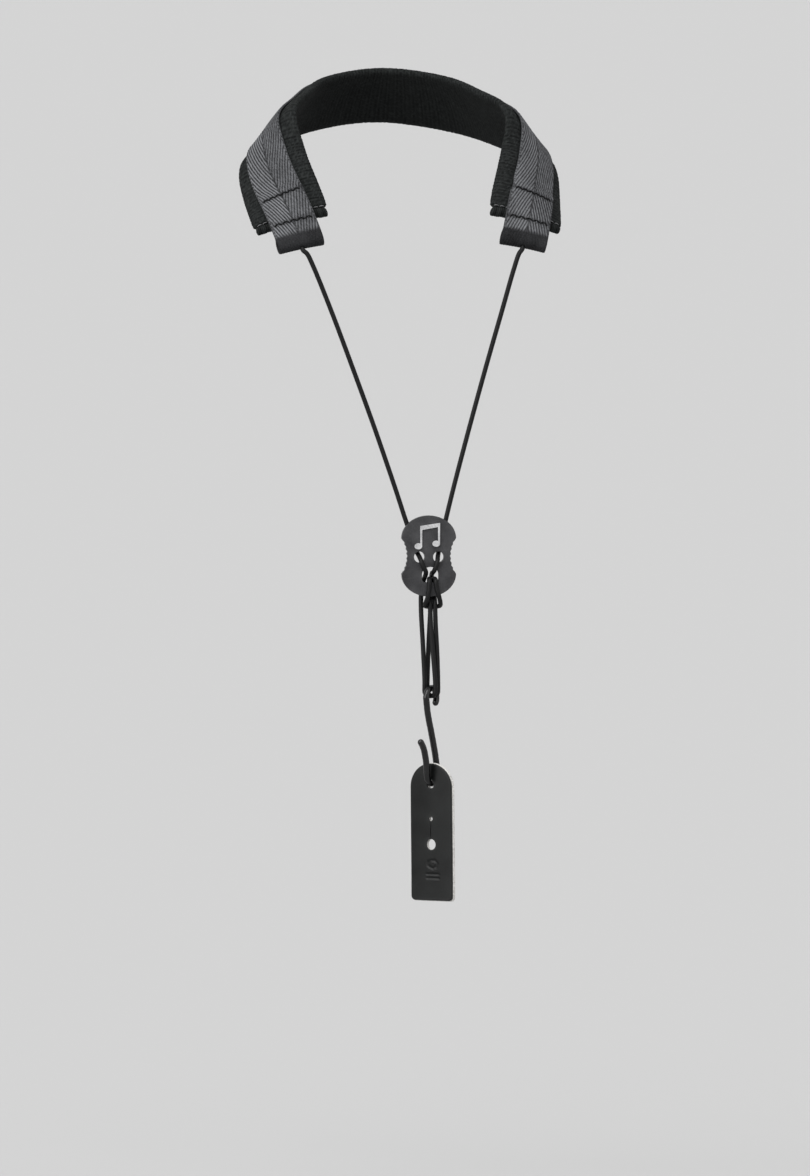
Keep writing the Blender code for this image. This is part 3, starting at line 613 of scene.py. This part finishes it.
PAD_ROWS = 93
PAD_RING = 28
PAD_START_HALF_WIDTH = 22.3 * MM
PAD_START_TOP = 5.75 * MM
PAD_SQUARENESS = 4.2
PAD_END_TAPER = 4.0 * MM
PAD_END_NARROWING = 0.015
PAD_END_THINNING = 0.3
PAD_SWELL_CAP = 1.0 * MM
PINNED_HALF_WIDTH = 12.0 * MM
CLOTH_FRAMES = 20
CLOTH_PRESSURE = 4.0
CLOTH_STIFFNESS = 20.0
CLOTH_BENDING = 0.4
CLOTH_QUALITY = 6
KNIT_RIB_PITCH = 2.3 * MM
KNIT_RIB_DEPTH = 0.16 * MM
KNIT_FUZZ = 0.06 * MM
KNIT_SEED = 7
KNIT_RIB_LIGHT = 0.55
KNIT_FLECK_LIGHT = 0.75
FLECK_RARITY = 2.5
LINING_TOP = 0.9 * MM
LINING_EDGE = 0.6 * MM
LINING_SMOOTHNESS = 0.7
LINING_RIB_FADE = 0.5
LINING_FLECK_FADE = 0.6
UNDER_WEBBING_EDGE = 1.5 * MM
UNDER_WEBBING_FROM = 3.0 * MM


def pad_section(count):
    """Points round the pad's section, across and off the neck, evenly spaced."""
    turns = np.linspace(0, 2 * math.pi, 721)
    power = 2 / PAD_SQUARENESS
    w = PAD_START_HALF_WIDTH * np.sign(np.cos(turns)) * np.abs(np.cos(turns)) ** power
    h = PAD_START_TOP / 2 * (1 + np.sign(np.sin(turns)) * np.abs(np.sin(turns)) ** power)
    loop = np.column_stack([w, h])
    lengths = travel_along(loop)
    places = np.linspace(0, lengths[-1], count, endpoint=False)
    return np.column_stack([np.interp(places, lengths, column) for column in loop.T])


def swell(piece, pinned):
    """Blows the piece up a little as cloth, with the pinned corners held, and keeps the new shape."""
    start = mesh_places(piece.data)
    group = piece.vertex_groups.new(name="held")
    group.add([int(i) for i in np.flatnonzero(pinned)], 1.0, "REPLACE")
    cloth = piece.modifiers.new("cloth", "CLOTH")
    cloth.settings.vertex_group_mass = "held"
    cloth.settings.use_pressure = True
    cloth.settings.uniform_pressure_force = CLOTH_PRESSURE
    cloth.settings.effector_weights.gravity = 0.0
    cloth.settings.quality = CLOTH_QUALITY
    cloth.settings.tension_stiffness = CLOTH_STIFFNESS
    cloth.settings.compression_stiffness = CLOTH_STIFFNESS
    cloth.settings.bending_stiffness = CLOTH_BENDING
    cloth.point_cache.frame_end = CLOTH_FRAMES
    for number in range(1, CLOTH_FRAMES + 1):
        bpy.context.scene.frame_set(number)
    applied(piece)
    bpy.context.scene.frame_set(1)
    moved = mesh_places(piece.data) - start
    far = np.linalg.norm(moved, axis=1, keepdims=True)
    set_places(piece.data, start + moved * np.minimum(1.0, PAD_SWELL_CAP / np.maximum(far, 1e-9)))
    piece.vertex_groups.clear()


def make_pad():
    section = pad_section(PAD_RING)
    s = np.linspace(-PAD_HALF_LENGTH, PAD_HALF_LENGTH, PAD_ROWS)[:, None]
    near_end = smoothstep((PAD_HALF_LENGTH - np.abs(s)) / PAD_END_TAPER)
    w = section[None, :, 0] * (1 - PAD_END_NARROWING + PAD_END_NARROWING * near_end)
    middle = PAD_START_TOP / 2
    h = middle + (section[None, :, 1] - middle) * (1 - PAD_END_THINNING + PAD_END_THINNING * near_end)
    s, w, h = np.broadcast_arrays(s, w, h)
    corners = band_places(s, w, h).reshape(-1, 3)
    pad = mesh_object("padded_neck_pad", corners, ring_faces(PAD_ROWS, PAD_RING))
    for name, values in (("along", s), ("across", w), ("off", h)):
        attribute = pad.data.attributes.new(name, "FLOAT", "POINT")
        attribute.data.foreach_set("value", values.astype(np.float32).ravel())
    held = (np.abs(w) < PINNED_HALF_WIDTH) | (np.abs(s) > PAD_HALF_LENGTH - PAD_END_TAPER)
    swell(pad, held.ravel())
    smooth = pad.modifiers.new("smooth", "SUBSURF")
    smooth.levels = 2
    smooth.render_levels = 2
    applied(pad)
    mesh = pad.data
    along = np.zeros(len(mesh.vertices), np.float32)
    across = along.copy()
    off = along.copy()
    for name, values in (("along", along), ("across", across), ("off", off)):
        mesh.attributes[name].data.foreach_get("value", values)
    normals = np.zeros(len(mesh.vertices) * 3)
    mesh.vertices.foreach_get("normal", normals)
    ribs = 0.5 + 0.5 * np.cos(2 * math.pi * along / KNIT_RIB_PITCH)
    lining = smoothstep((LINING_TOP - off) / LINING_EDGE)
    under = smoothstep((WEBBING_WIDTH / 2 - np.abs(across)) / UNDER_WEBBING_EDGE) * (off > UNDER_WEBBING_FROM)
    depth = KNIT_RIB_DEPTH * (ribs - 0.5) * (1 - LINING_SMOOTHNESS * lining) * (1 - under)
    rng = np.random.default_rng(KNIT_SEED)
    depth = depth + rng.normal(0.0, KNIT_FUZZ, len(depth)) * (1 - under)
    set_places(mesh, mesh_places(mesh) + normals.reshape(-1, 3) * depth[:, None])
    flecks = rng.random(len(depth)) ** FLECK_RARITY
    rib_light = KNIT_RIB_LIGHT * ribs * (1 - LINING_RIB_FADE * lining)
    fleck_light = KNIT_FLECK_LIGHT * flecks * (1 - LINING_FLECK_FADE * lining)
    set_pattern(mesh, np.clip(rib_light + fleck_light, 0.0, 1.0))
    for name in ("along", "across", "off"):
        mesh.attributes.remove(mesh.attributes[name])
    mesh.shade_smooth()
    dress(pad, "knit", "neck_band", ("pad_lining", "pad_foam_core", "pad_outer_cover"))


HEM_HALF = PAD_WIDTH / 2 - 1.2 * MM
HEM_HEIGHT = COVER_TOP / 2
HEM_PLACE = PAD_HALF_LENGTH + 1.6 * MM
HEM_PUCKER = 4.1 * MM
HEM_SHAPE = 3
HEM_ROWS = 161
HEM_SIDES = 28
HEM_ROUND_FROM = 0.88
HEM_ROUND_POWER = 1 / 2.4
HEM_TIP = 0.02
HEM_RIB_PITCH = 1.1 * MM
HEM_RELIEF = 0.1 * MM
HEM_LEAN = 0.3 * MM
HEM_LEAN_TURN = 4.0
HEM_FLATNESS = (1.05, 1.22)
HEM_STITCH_PLACE = PAD_HALF_LENGTH - 0.9 * MM
HEM_STITCH_STARTS = np.arange(-19.8, 18.0, 3.3) * MM
HEM_STITCH_LENGTH = 2.7 * MM
HEM_STITCH_MIDDLE = 1.2 * MM
HEM_STITCH_GAP = WEBBING_WIDTH - 2.0 * MM
HEM_STITCH_HEIGHT = 5.15 * MM
HEM_STITCH_RISE = np.array((-0.5, 0.05, 0.2, 0.05, -0.5)) * MM
HEM_STITCH_RADIUS = 0.24 * MM


def make_hems():
    """The pad's ends, rolled over and stitched: flattened rolls with soft, nearly square ends."""
    angles = np.linspace(0, 2 * math.pi, HEM_SIDES, endpoint=False)[None, :]
    w = np.linspace(-1.0, 1.0, HEM_ROWS)[:, None]
    end = np.clip((np.abs(w) - HEM_ROUND_FROM) / (1.0 - HEM_ROUND_FROM), 0.0, 1.0)
    full = (1.0 - end**HEM_SHAPE) ** HEM_ROUND_POWER + HEM_TIP
    ribs = 0.5 + 0.5 * np.cos(2 * math.pi * w * HEM_HALF / HEM_RIB_PITCH)
    wave = np.cos(2 * math.pi * w * HEM_HALF / HEM_PUCKER) * (0.6 + 0.4 * np.cos(angles))
    radius = (HEM_RADIUS + HEM_RELIEF * wave + HEM_RELIEF * (ribs - 0.5)) * full
    for side, label in ((-1, "left"), (1, "right")):
        lean = HEM_LEAN * np.sin(w * HEM_LEAN_TURN)
        s = side * (HEM_PLACE + lean + radius * HEM_FLATNESS[0] * np.cos(angles))
        h = HEM_HEIGHT + radius * HEM_FLATNESS[1] * np.sin(angles)
        corners = band_places(s, w * HEM_HALF + 0.0 * s, h).reshape(-1, 3)
        pattern = np.clip(0.5 * ribs + 0.25 * wave + 0.2 + 0.0 * s, 0.0, 1.0)
        hem = mesh_object("rolled_hem_" + label, corners, ring_faces(HEM_ROWS, HEM_SIDES), pattern)
        dress(hem, "knit", "neck_band", ("pad_end_hem_" + label,))
        paths = []
        for start in HEM_STITCH_STARTS:
            if abs(start + HEM_STITCH_MIDDLE) < HEM_STITCH_GAP / 2:
                continue
            across = np.linspace(0.0, 1.0, len(HEM_STITCH_RISE)) * HEM_STITCH_LENGTH + start
            paths.append(band_places(side * HEM_STITCH_PLACE, across, HEM_STITCH_HEIGHT + HEM_STITCH_RISE))
        # The pale thread paints the glint along the hem's top: painted highlight.
        stitched = threads("hem_topstitch_" + label, paths, HEM_STITCH_RADIUS)
        dress(stitched, "pale_thread_painted_glint", "neck_band")


# ---------------------------------------------------------------- webbing

WEBBING_ROW_SPACING = 0.8 * MM
WEBBING_TOP_COLUMNS = 93
WEBBING_BACK_COLUMNS = 13
WEBBING_TOP_INSET = 0.15 * MM
WEBBING_BACK_INSET = 0.3 * MM
RIB_STEEPNESS = 3.0
RIB_PITCH = 1.55 * MM
RIB_DEPTH = 0.22 * MM
YARN_NOISE = 0.13
SELVEDGE = 1.1 * MM
SELVEDGE_PITCH = 1.3 * MM
SELVEDGE_FROM = 0.15
SELVEDGE_LIGHT = 0.8
SELVEDGE_SWING = 0.45
SELVEDGE_THINNING = 0.4
EYELET_RADIUS = 2.0 * MM
EYELET_DEPTH = 1.1 * MM
STITCH_PRESS = 0.3 * MM
STITCH_PRESS_REACH = 1.3 * MM
OUTER_RUN_ABOVE = 0.5 * MM
ROLL_START = LOOP_CENTRE - 5.0 * MM
ROLL_LENGTH = 2.5 * MM
ROLL_SMOOTHNESS = 0.5
# Painted shade: the pattern over the end roll is darkened by this share, where the fold turns away from the
# light.
ROLL_PAINTED_SHADE = 0.97
MIDDLE_LINE_WIDTH = 0.45 * MM
MIDDLE_LINE_DEPTH = 0.7
RIB_ROUNDNESS = 0.85
RIB_CONTRAST = 1.7
# Painted sheen: on one half of each band the rib pattern is dimmed to this share, as if the yarn caught the
# light less there.
SHEEN_DIMMED_HALF = 0.72
YARN_SEED = 11
WORN_SHARE = 0.15
WORN_PATCH = (9.0 * MM, 5.0 * MM)
# Painted shade: the pattern is darkened by this share along the stitch rows, as the shadow in their
# pressed-in crease.
PRESSED_PAINTED_SHADE = 0.7
BACK_PATTERN = 0.2


def webbing_half_route():
    """The webbing's right half in (s, h): across the pad, up a step, along, round the loop and back."""
    route = [(share * STEP_START, WEBBING_LOW) for share in np.linspace(0.0, 1.0, 16)]
    for share in (0.25, 0.5, 0.75, 1.0):
        rise = smoothstep(share) * (WEBBING_HIGH - WEBBING_LOW)
        route.append((STEP_START + STEP_LENGTH * share, WEBBING_LOW + rise))
    doubled = [PAD_HALF_LENGTH + past * MM for past in (-12.0, -8.0, -4.0, 0.0, 5.0, 10.0)]
    route += [(s, WEBBING_HIGH) for s in doubled]
    for angle in range(90, -181, -18):
        turn = math.radians(angle)
        route.append((LOOP_CENTRE + LOOP_RADIUS * math.cos(turn), LOOP_HEIGHT + LOOP_RADIUS * math.sin(turn)))
    bend = WEBBING_LOW - LOOP_HEIGHT
    bend_centre = LOOP_CENTRE - LOOP_RADIUS - bend
    for angle in (30, 60, 90):
        turn = math.radians(angle)
        route.append((bend_centre + bend * math.cos(turn), LOOP_HEIGHT + bend * math.sin(turn)))
    return route + [(s, WEBBING_LOW) for s in reversed(doubled)]


def make_webbing():
    half = webbing_half_route()
    full = [(-s, h) for s, h in reversed(half)][:-1] + half
    dense = smooth_curve([(s, h, 0.0) for s, h in full], 10)
    route = even_points(dense, WEBBING_ROW_SPACING)[:, :2]
    travel = travel_along(route)[:, None]
    ahead = unit(np.gradient(route, axis=0))
    s = route[:, :1]
    rise = np.column_stack([-ahead[:, 1], ahead[:, 0]])
    outer = WEBBING_WIDTH / 2
    top = np.linspace(-outer + WEBBING_TOP_INSET, outer - WEBBING_TOP_INSET, WEBBING_TOP_COLUMNS)
    back = np.linspace(outer - WEBBING_BACK_INSET, -outer + WEBBING_BACK_INSET, WEBBING_BACK_COLUMNS)
    w = np.concatenate([top, [outer], back, [-outer]])[None, :]
    face = np.concatenate([np.ones(len(top)), [0.0], -np.ones(len(back)), [0.0]])[None, :]
    on_top = face > 0.5
    edge = np.clip((np.abs(w) - (outer - SELVEDGE)) / SELVEDGE, 0.0, 1.0)
    thick = WEBBING_THICKNESS / 2 * face * (1.0 - SELVEDGE_THINNING * edge**2)

    pitch = RIB_PITCH * math.sqrt(1 + RIB_STEEPNESS**2)
    phase = (travel - RIB_STEEPNESS * np.abs(w)) / pitch
    ribs = (0.5 + 0.5 * np.cos(2 * math.pi * phase)) ** RIB_ROUNDNESS
    ribs *= 1.0 - MIDDLE_LINE_DEPTH * np.exp(-((w / MIDDLE_LINE_WIDTH) ** 2))
    weft = 1 - SELVEDGE_SWING + SELVEDGE_SWING * np.cos(2 * math.pi * travel / SELVEDGE_PITCH)
    ribs = np.where(edge > SELVEDGE_FROM, weft * SELVEDGE_LIGHT + 0.0 * w, ribs)
    # pressed sinks the webbing along the stitch rows and also paints shade there, in the pattern below.
    pressed = 0.0 * travel
    on_outer_run = route[:, 1:] > WEBBING_LOW + OUTER_RUN_ABOVE
    for place in STITCH_ROW_PLACES:
        pressed = pressed + np.exp(-(((np.abs(s) - place) / STITCH_PRESS_REACH) ** 2)) * on_outer_run
    on_roll = smoothstep((np.abs(s) - ROLL_START) / ROLL_LENGTH)
    tip = np.hypot(np.abs(s) - (LOOP_CENTRE + LOOP_RADIUS), route[:, 1:] - LOOP_HEIGHT)
    # eyelet sinks the webbing round the cord hole and also paints the hole's shadow into the pattern below.
    eyelet = smoothstep(1.0 - np.hypot(tip, w) / EYELET_RADIUS)
    relief = RIB_DEPTH * (ribs - 0.5) * (1 - ROLL_SMOOTHNESS * on_roll)
    relief = relief - STITCH_PRESS * pressed - EYELET_DEPTH * eyelet
    offset = thick + np.where(on_top, relief, 0.0)
    corners = band_places(s + rise[:, :1] * offset, w + 0.0 * s, route[:, 1:] + rise[:, 1:] * offset)

    # Painted sheen: full rib contrast on one half of the band, dimmed on the other.
    painted_sheen_side = np.where(s * w < 0, 1.0, SHEEN_DIMMED_HALF)
    worn = np.sin(travel / WORN_PATCH[0]) * np.cos(w / WORN_PATCH[1])
    worn = 1 - WORN_SHARE + WORN_SHARE * worn
    # The on_roll factor below is painted shade on the end roll's fold.
    pattern = ribs**RIB_CONTRAST * painted_sheen_side * worn * (1 - ROLL_PAINTED_SHADE * on_roll)
    # Painted shade: darker along the stitch rows and round the cord hole.
    pattern = pattern * (1 - PRESSED_PAINTED_SHADE * pressed) * (1 - eyelet)
    yarn = np.random.default_rng(YARN_SEED).normal(0.0, YARN_NOISE, pattern.shape) * (1 - on_roll)
    # The back is painted dark over the end roll too: painted shade.
    pattern = np.where(on_top, np.clip(pattern + yarn, 0.0, 1.0), BACK_PATTERN * (1 - on_roll))
    faces = ring_faces(len(route), w.size)
    webbing = mesh_object("herringbone_strap", corners.reshape(-1, 3), faces, pattern)
    dress(webbing, "webbing", "neck_band", ("webbing_band",))


STITCH_RADIUS = 0.42 * MM
STITCH_ZIGZAG = 0.85 * MM
STITCH_COUNTS = {"upper": 12, "lower": 10}
STITCH_SHARES = np.array((0.08, 0.3, 0.5, 0.7, 0.92))
STITCH_RISE = np.array((-0.35, 0.1, 0.2, 0.1, -0.35)) * MM
STITCH_SINK = 0.1 * MM


def make_stitch_rows():
    top = WEBBING_HIGH + WEBBING_THICKNESS / 2 - STITCH_SINK
    for side, side_label in ((-1, "left"), (1, "right")):
        for row_label, place in zip(("upper", "lower"), STITCH_ROW_PLACES):
            count = STITCH_COUNTS[row_label]
            paths = []
            for i in range(count):
                w = STITCH_ROW_LENGTH * ((i + STITCH_SHARES) / count - 0.5)
                lean = STITCH_ZIGZAG * (2 * STITCH_SHARES - 1) * (1 if i % 2 else -1)
                paths.append(band_places(side * (place + lean), w, top + STITCH_RISE))
            row = threads(f"cross_stitches_{row_label}_{side_label}", paths, STITCH_RADIUS)
            dress(row, "thread", "neck_band", (f"stitch_row_{row_label}_{side_label}",))


# ---------------------------------------------------------------- hook and tab

HOOK_SIDES = 32
HOOK_RING_SPACING = 0.35 * MM
SLEEVE_WAVE = 0.02 * MM
SLEEVE_WAVE_PITCHES = (7.3 * MM, 3.1 * MM)


def hook_line():
    """The hook's middle line: eye, shank, bend and flared tip."""
    radius = LOOP_WIRE_RADIUS
    points = [(radius * math.cos(t), radius * math.sin(t)) for t in np.radians(np.arange(-52, 190, 12))]
    points += [(-3.7 * MM, -9.0 * MM), (0.2 * MM, -20.0 * MM), (4.0 * MM, -31.5 * MM), (5.7 * MM, -38.5 * MM)]
    for turn in np.radians(np.arange(0, -181, -15)):
        points.append((BEND_ALONG + radius * math.cos(turn), BEND_HEIGHT + radius * math.sin(turn)))
    points += [(-5.3 * MM, -37.5 * MM), (-6.6 * MM, -32.0 * MM)]
    points += [(-9.0 * MM, -27.0 * MM), (-12.6 * MM, -23.2 * MM)]
    flat = np.array([(0.0, y, z) for y, z in points])
    return hook_places(even_points(smooth_curve(flat, 16), HOOK_RING_SPACING))


def sleeve_waves(travel, angle):
    """The slight unevenness of a coating on wire."""
    long_wave, short_wave = (2 * math.pi * travel / pitch for pitch in SLEEVE_WAVE_PITCHES)
    wave = np.cos(long_wave + angle) + np.cos(short_wave)
    return SLEEVE_WAVE * wave, 0.0 * wave


def make_hook():
    hook = tube("coated_wire_hook", hook_line(), SLEEVE_RADIUS, HOOK_SIDES, sleeve_waves, round_ends=True)
    dress(hook, "sleeve", "hook", ("hook_wire", "hook_sleeve"))


TAB_CELL = 0.55 * MM
CUTTER_LENGTH = 0.02
SHARP_ANGLE = math.radians(50.0)
TAB_EDGE_ROUND = 0.45 * MM
TAB_EDGE_THINNING = 0.9
TAB_INNER_SHARE = 0.998
EMBOSS_DEPTH = 0.28 * MM
EMBOSS_MIDDLE = 1.0 * MM
EMBOSS_LINE = 0.55 * MM
RING_HEIGHT = -45.0 * MM
RING_RADIUS = 2.2 * MM
RING_STRETCH = 1.35
BAR_HEIGHTS = (-50.5 * MM, -53.0 * MM)
BAR_HALF_LENGTH = 4.2 * MM
TAB_CUP = 0.55 * MM
TAB_BOW = 0.5 * MM
TAB_BOW_MIDDLE = -30.0 * MM
TAB_BOW_REACH = 24.0 * MM
WORN_EDGE = 0.7 * MM
SUEDE_PROUD = 0.35 * MM
SUEDE_ASIDE = 0.3 * MM


def tab_outline_distance(x, z, grow):
    """How far inside the tab's outline a place is."""
    half = TAB_WIDTH / 2 + grow
    top = TAB_TOP_ABOVE_HOLE + grow
    bottom = TAB_TOP_ABOVE_HOLE - TAB_LENGTH - grow
    shoulder = top - half
    corner = TAB_CORNER_RADIUS
    round_top = half - np.hypot(x, np.maximum(z - shoulder, 0.0))
    out_x = np.maximum(np.abs(x) - (half - corner), 0.0)
    out_z = np.maximum(bottom + corner - z, 0.0)
    in_corner = corner - np.hypot(out_x, out_z)
    low = np.minimum(half - np.abs(x), np.where((out_x > 0) & (out_z > 0), in_corner, z - bottom))
    return np.where(z > shoulder, round_top, np.minimum(low, half - np.abs(x)))


def tab_rows(grow):
    """Heights and half widths of the tab's rows, from its top down."""
    half = TAB_WIDTH / 2 + grow
    shoulder = TAB_TOP_ABOVE_HOLE + grow - half
    bottom = TAB_TOP_ABOVE_HOLE - TAB_LENGTH - grow
    corner = TAB_CORNER_RADIUS
    rows = [(shoulder + half * math.sin(t), half * math.cos(t)) for t in np.radians(np.linspace(88, 2, 40))]
    straight = np.arange(shoulder, bottom + corner, -TAB_CELL)
    rows += [(z, half) for z in straight]
    for t in np.radians(np.linspace(4, 88, 10)):
        rows.append((bottom + corner - corner * math.sin(t), half - corner + corner * math.cos(t)))
    return np.array(rows)


def emboss(x, z):
    """A plain pressed motif: an oval ring over two short bars."""
    aside = x - EMBOSS_MIDDLE
    motif = np.abs(np.hypot(aside / RING_STRETCH, z - RING_HEIGHT) - RING_RADIUS) < EMBOSS_LINE
    for height in BAR_HEIGHTS:
        motif = motif | ((np.abs(aside) < BAR_HALF_LENGTH) & (np.abs(z - height) < EMBOSS_LINE))
    return motif.astype(float)


def tab_layer(name, front, back, grow, aside, press, look, node):
    """One layer of the tab, from front to back along the hook. grow widens it, aside shifts it."""
    rows = tab_rows(grow)
    columns = int(TAB_WIDTH / TAB_CELL)
    share = np.linspace(-1, 1, columns)
    share = np.concatenate([share, [1.0], share[::-1], [-1.0]])[None, :]
    x = share * rows[:, 1:] * np.where(np.abs(share) >= 1.0, 1.0, TAB_INNER_SHARE)
    face = np.concatenate([-np.ones(columns), [0.0], np.ones(columns), [0.0]])[None, :]
    z = rows[:, :1] + 0.0 * x
    middle = (front + back) / 2
    inside = np.maximum(tab_outline_distance(x, z, grow), 0.0)
    near_edge = np.clip(1.0 - inside / TAB_EDGE_ROUND, 0.0, 1.0)
    thick = (back - front) / 2 * np.sqrt(1.0 - TAB_EDGE_THINNING * near_edge**2)
    y = middle + face * thick
    layer = mesh_object(name, np.stack([x, y, z], axis=-1).reshape(-1, 3), ring_faces(len(rows), x.shape[1]))
    sideways = Matrix.Rotation(math.radians(90.0), 4, "X")
    holes = ((TAB_HOLE_DIAMETER, 0.0), TAB_SMALL_HOLE, TAB_LARGE_HOLE)
    cutters = [cylinder("hole", (0.0, 0.0, up), wide / 2, CUTTER_LENGTH, sideways) for wide, up in holes]
    slit_middle = (TAB_SMALL_HOLE[1] + TAB_LARGE_HOLE[1]) / 2
    slit = cylinder("slit", (0.0, 0.0, slit_middle), TAB_SLIT_WIDTH / 2, CUTTER_LENGTH, sideways, 4)
    slit.scale = (1.0, 1.0, (TAB_SMALL_HOLE[1] - TAB_LARGE_HOLE[1]) / TAB_SLIT_WIDTH)
    cutters.append(slit)
    for cutter in cutters:
        boolean = layer.modifiers.new("cut", "BOOLEAN")
        boolean.object = cutter
        boolean.operation = "DIFFERENCE"
    applied(layer)
    for cutter in cutters:
        bpy.data.objects.remove(cutter)
    places = mesh_places(layer.data)
    px, py, pz = places.T
    edge = tab_outline_distance(px, pz, grow)
    for wide, up in holes:
        edge = np.minimum(edge, np.abs(np.hypot(px, pz - up) - wide / 2))
    if press:
        places[:, 1] += EMBOSS_DEPTH * emboss(px, pz) * (py < middle)
    places[:, 1] += TAB_CUP * (px / (TAB_WIDTH / 2)) ** 2
    places[:, 1] -= TAB_BOW * np.sin((pz - TAB_BOW_MIDDLE) / TAB_BOW_REACH)
    bend_bottom = BEND_HEIGHT - LOOP_WIRE_RADIUS
    set_places(layer.data, hook_places(places + np.array((aside, BEND_ALONG, bend_bottom - TAB_HANG))))
    set_pattern(layer.data, np.exp(-np.maximum(edge, 0.0) / WORN_EDGE))
    layer.data.shade_smooth()
    layer.data.set_sharp_from_angle(angle=SHARP_ANGLE)
    dress(layer, look, "thumb_tab", (node,))


def make_tab():
    front = -TAB_THICKNESS / 2
    seam = front + TAB_THICKNESS * TAB_LEATHER_SHARE
    tab_layer("leather_tab_face", front, seam, 0.0, 0.0, True, "leather", "tab_leather")
    tab_layer(
        "suede_tab_back", seam, -front, SUEDE_PROUD, SUEDE_ASIDE, False, "suede",
        "tab_backing",
    )


# ---------------------------------------------------------------- build

make_pad()
make_hems()
make_webbing()
make_stitch_rows()
make_hook()
make_tab()
for node_name, look in (("slider_plate", "plastic"), ("slider_emblem", "silver")):
    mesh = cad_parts[node_name].data
    mesh.materials.clear()
    mesh.materials.append(finishes[look])

# ---------------------------------------------------------------- floor and light

FLOOR_HEIGHT = -0.62
FLOOR_RADIUS = 90.0
FLOOR_THICKNESS = 0.02
FLOOR_GREY = 0.482
WORLD_STRENGTH = 0.66
LIGHTS = (
    # name, where it shines from, strength, degrees across
    ("soft_key", (-1.2, -2.4, 2.8), 2.1, 45.0),
    ("soft_fill", (2.2, -2.0, 1.4), 0.5, 70.0),
    ("side_strip", (-2.2, -1.5, 0.35), 1.6, 40.0),
)

floor_middle = (0.0, 0.0, FLOOR_HEIGHT - FLOOR_THICKNESS / 2)
floor = cylinder("floor", floor_middle, FLOOR_RADIUS, FLOOR_THICKNESS, Matrix.Identity(4), 96)
floor_finish = bpy.data.materials.new("pale_floor")
floor_finish.use_nodes = True
floor_shader = floor_finish.node_tree.nodes["Principled BSDF"]
floor_shader.inputs["Base Color"].default_value = (FLOOR_GREY, FLOOR_GREY, FLOOR_GREY, 1.0)
floor_shader.inputs["Roughness"].default_value = 1.0
floor_shader.inputs["Specular IOR Level"].default_value = 0.0
floor.data.materials.append(floor_finish)

world = bpy.data.worlds.new("studio")
world.use_nodes = True
background = world.node_tree.nodes["Background"]
background.inputs["Color"].default_value = (1.0, 1.0, 1.0, 1.0)
background.inputs["Strength"].default_value = WORLD_STRENGTH
bpy.context.scene.world = world

for name, place, strength, across in LIGHTS:
    light_data = bpy.data.lights.new(name, "SUN")
    light_data.energy = strength
    light_data.angle = math.radians(across)
    light = bpy.data.objects.new(name, light_data)
    bpy.context.scene.collection.objects.link(light)
    light.location = place
    light.rotation_euler = (CAMERA_TARGET - Vector(place)).to_track_quat("-Z", "Y").to_euler()

bpy.context.scene.view_settings.view_transform = "Standard"

bpy.context.view_layer.update()
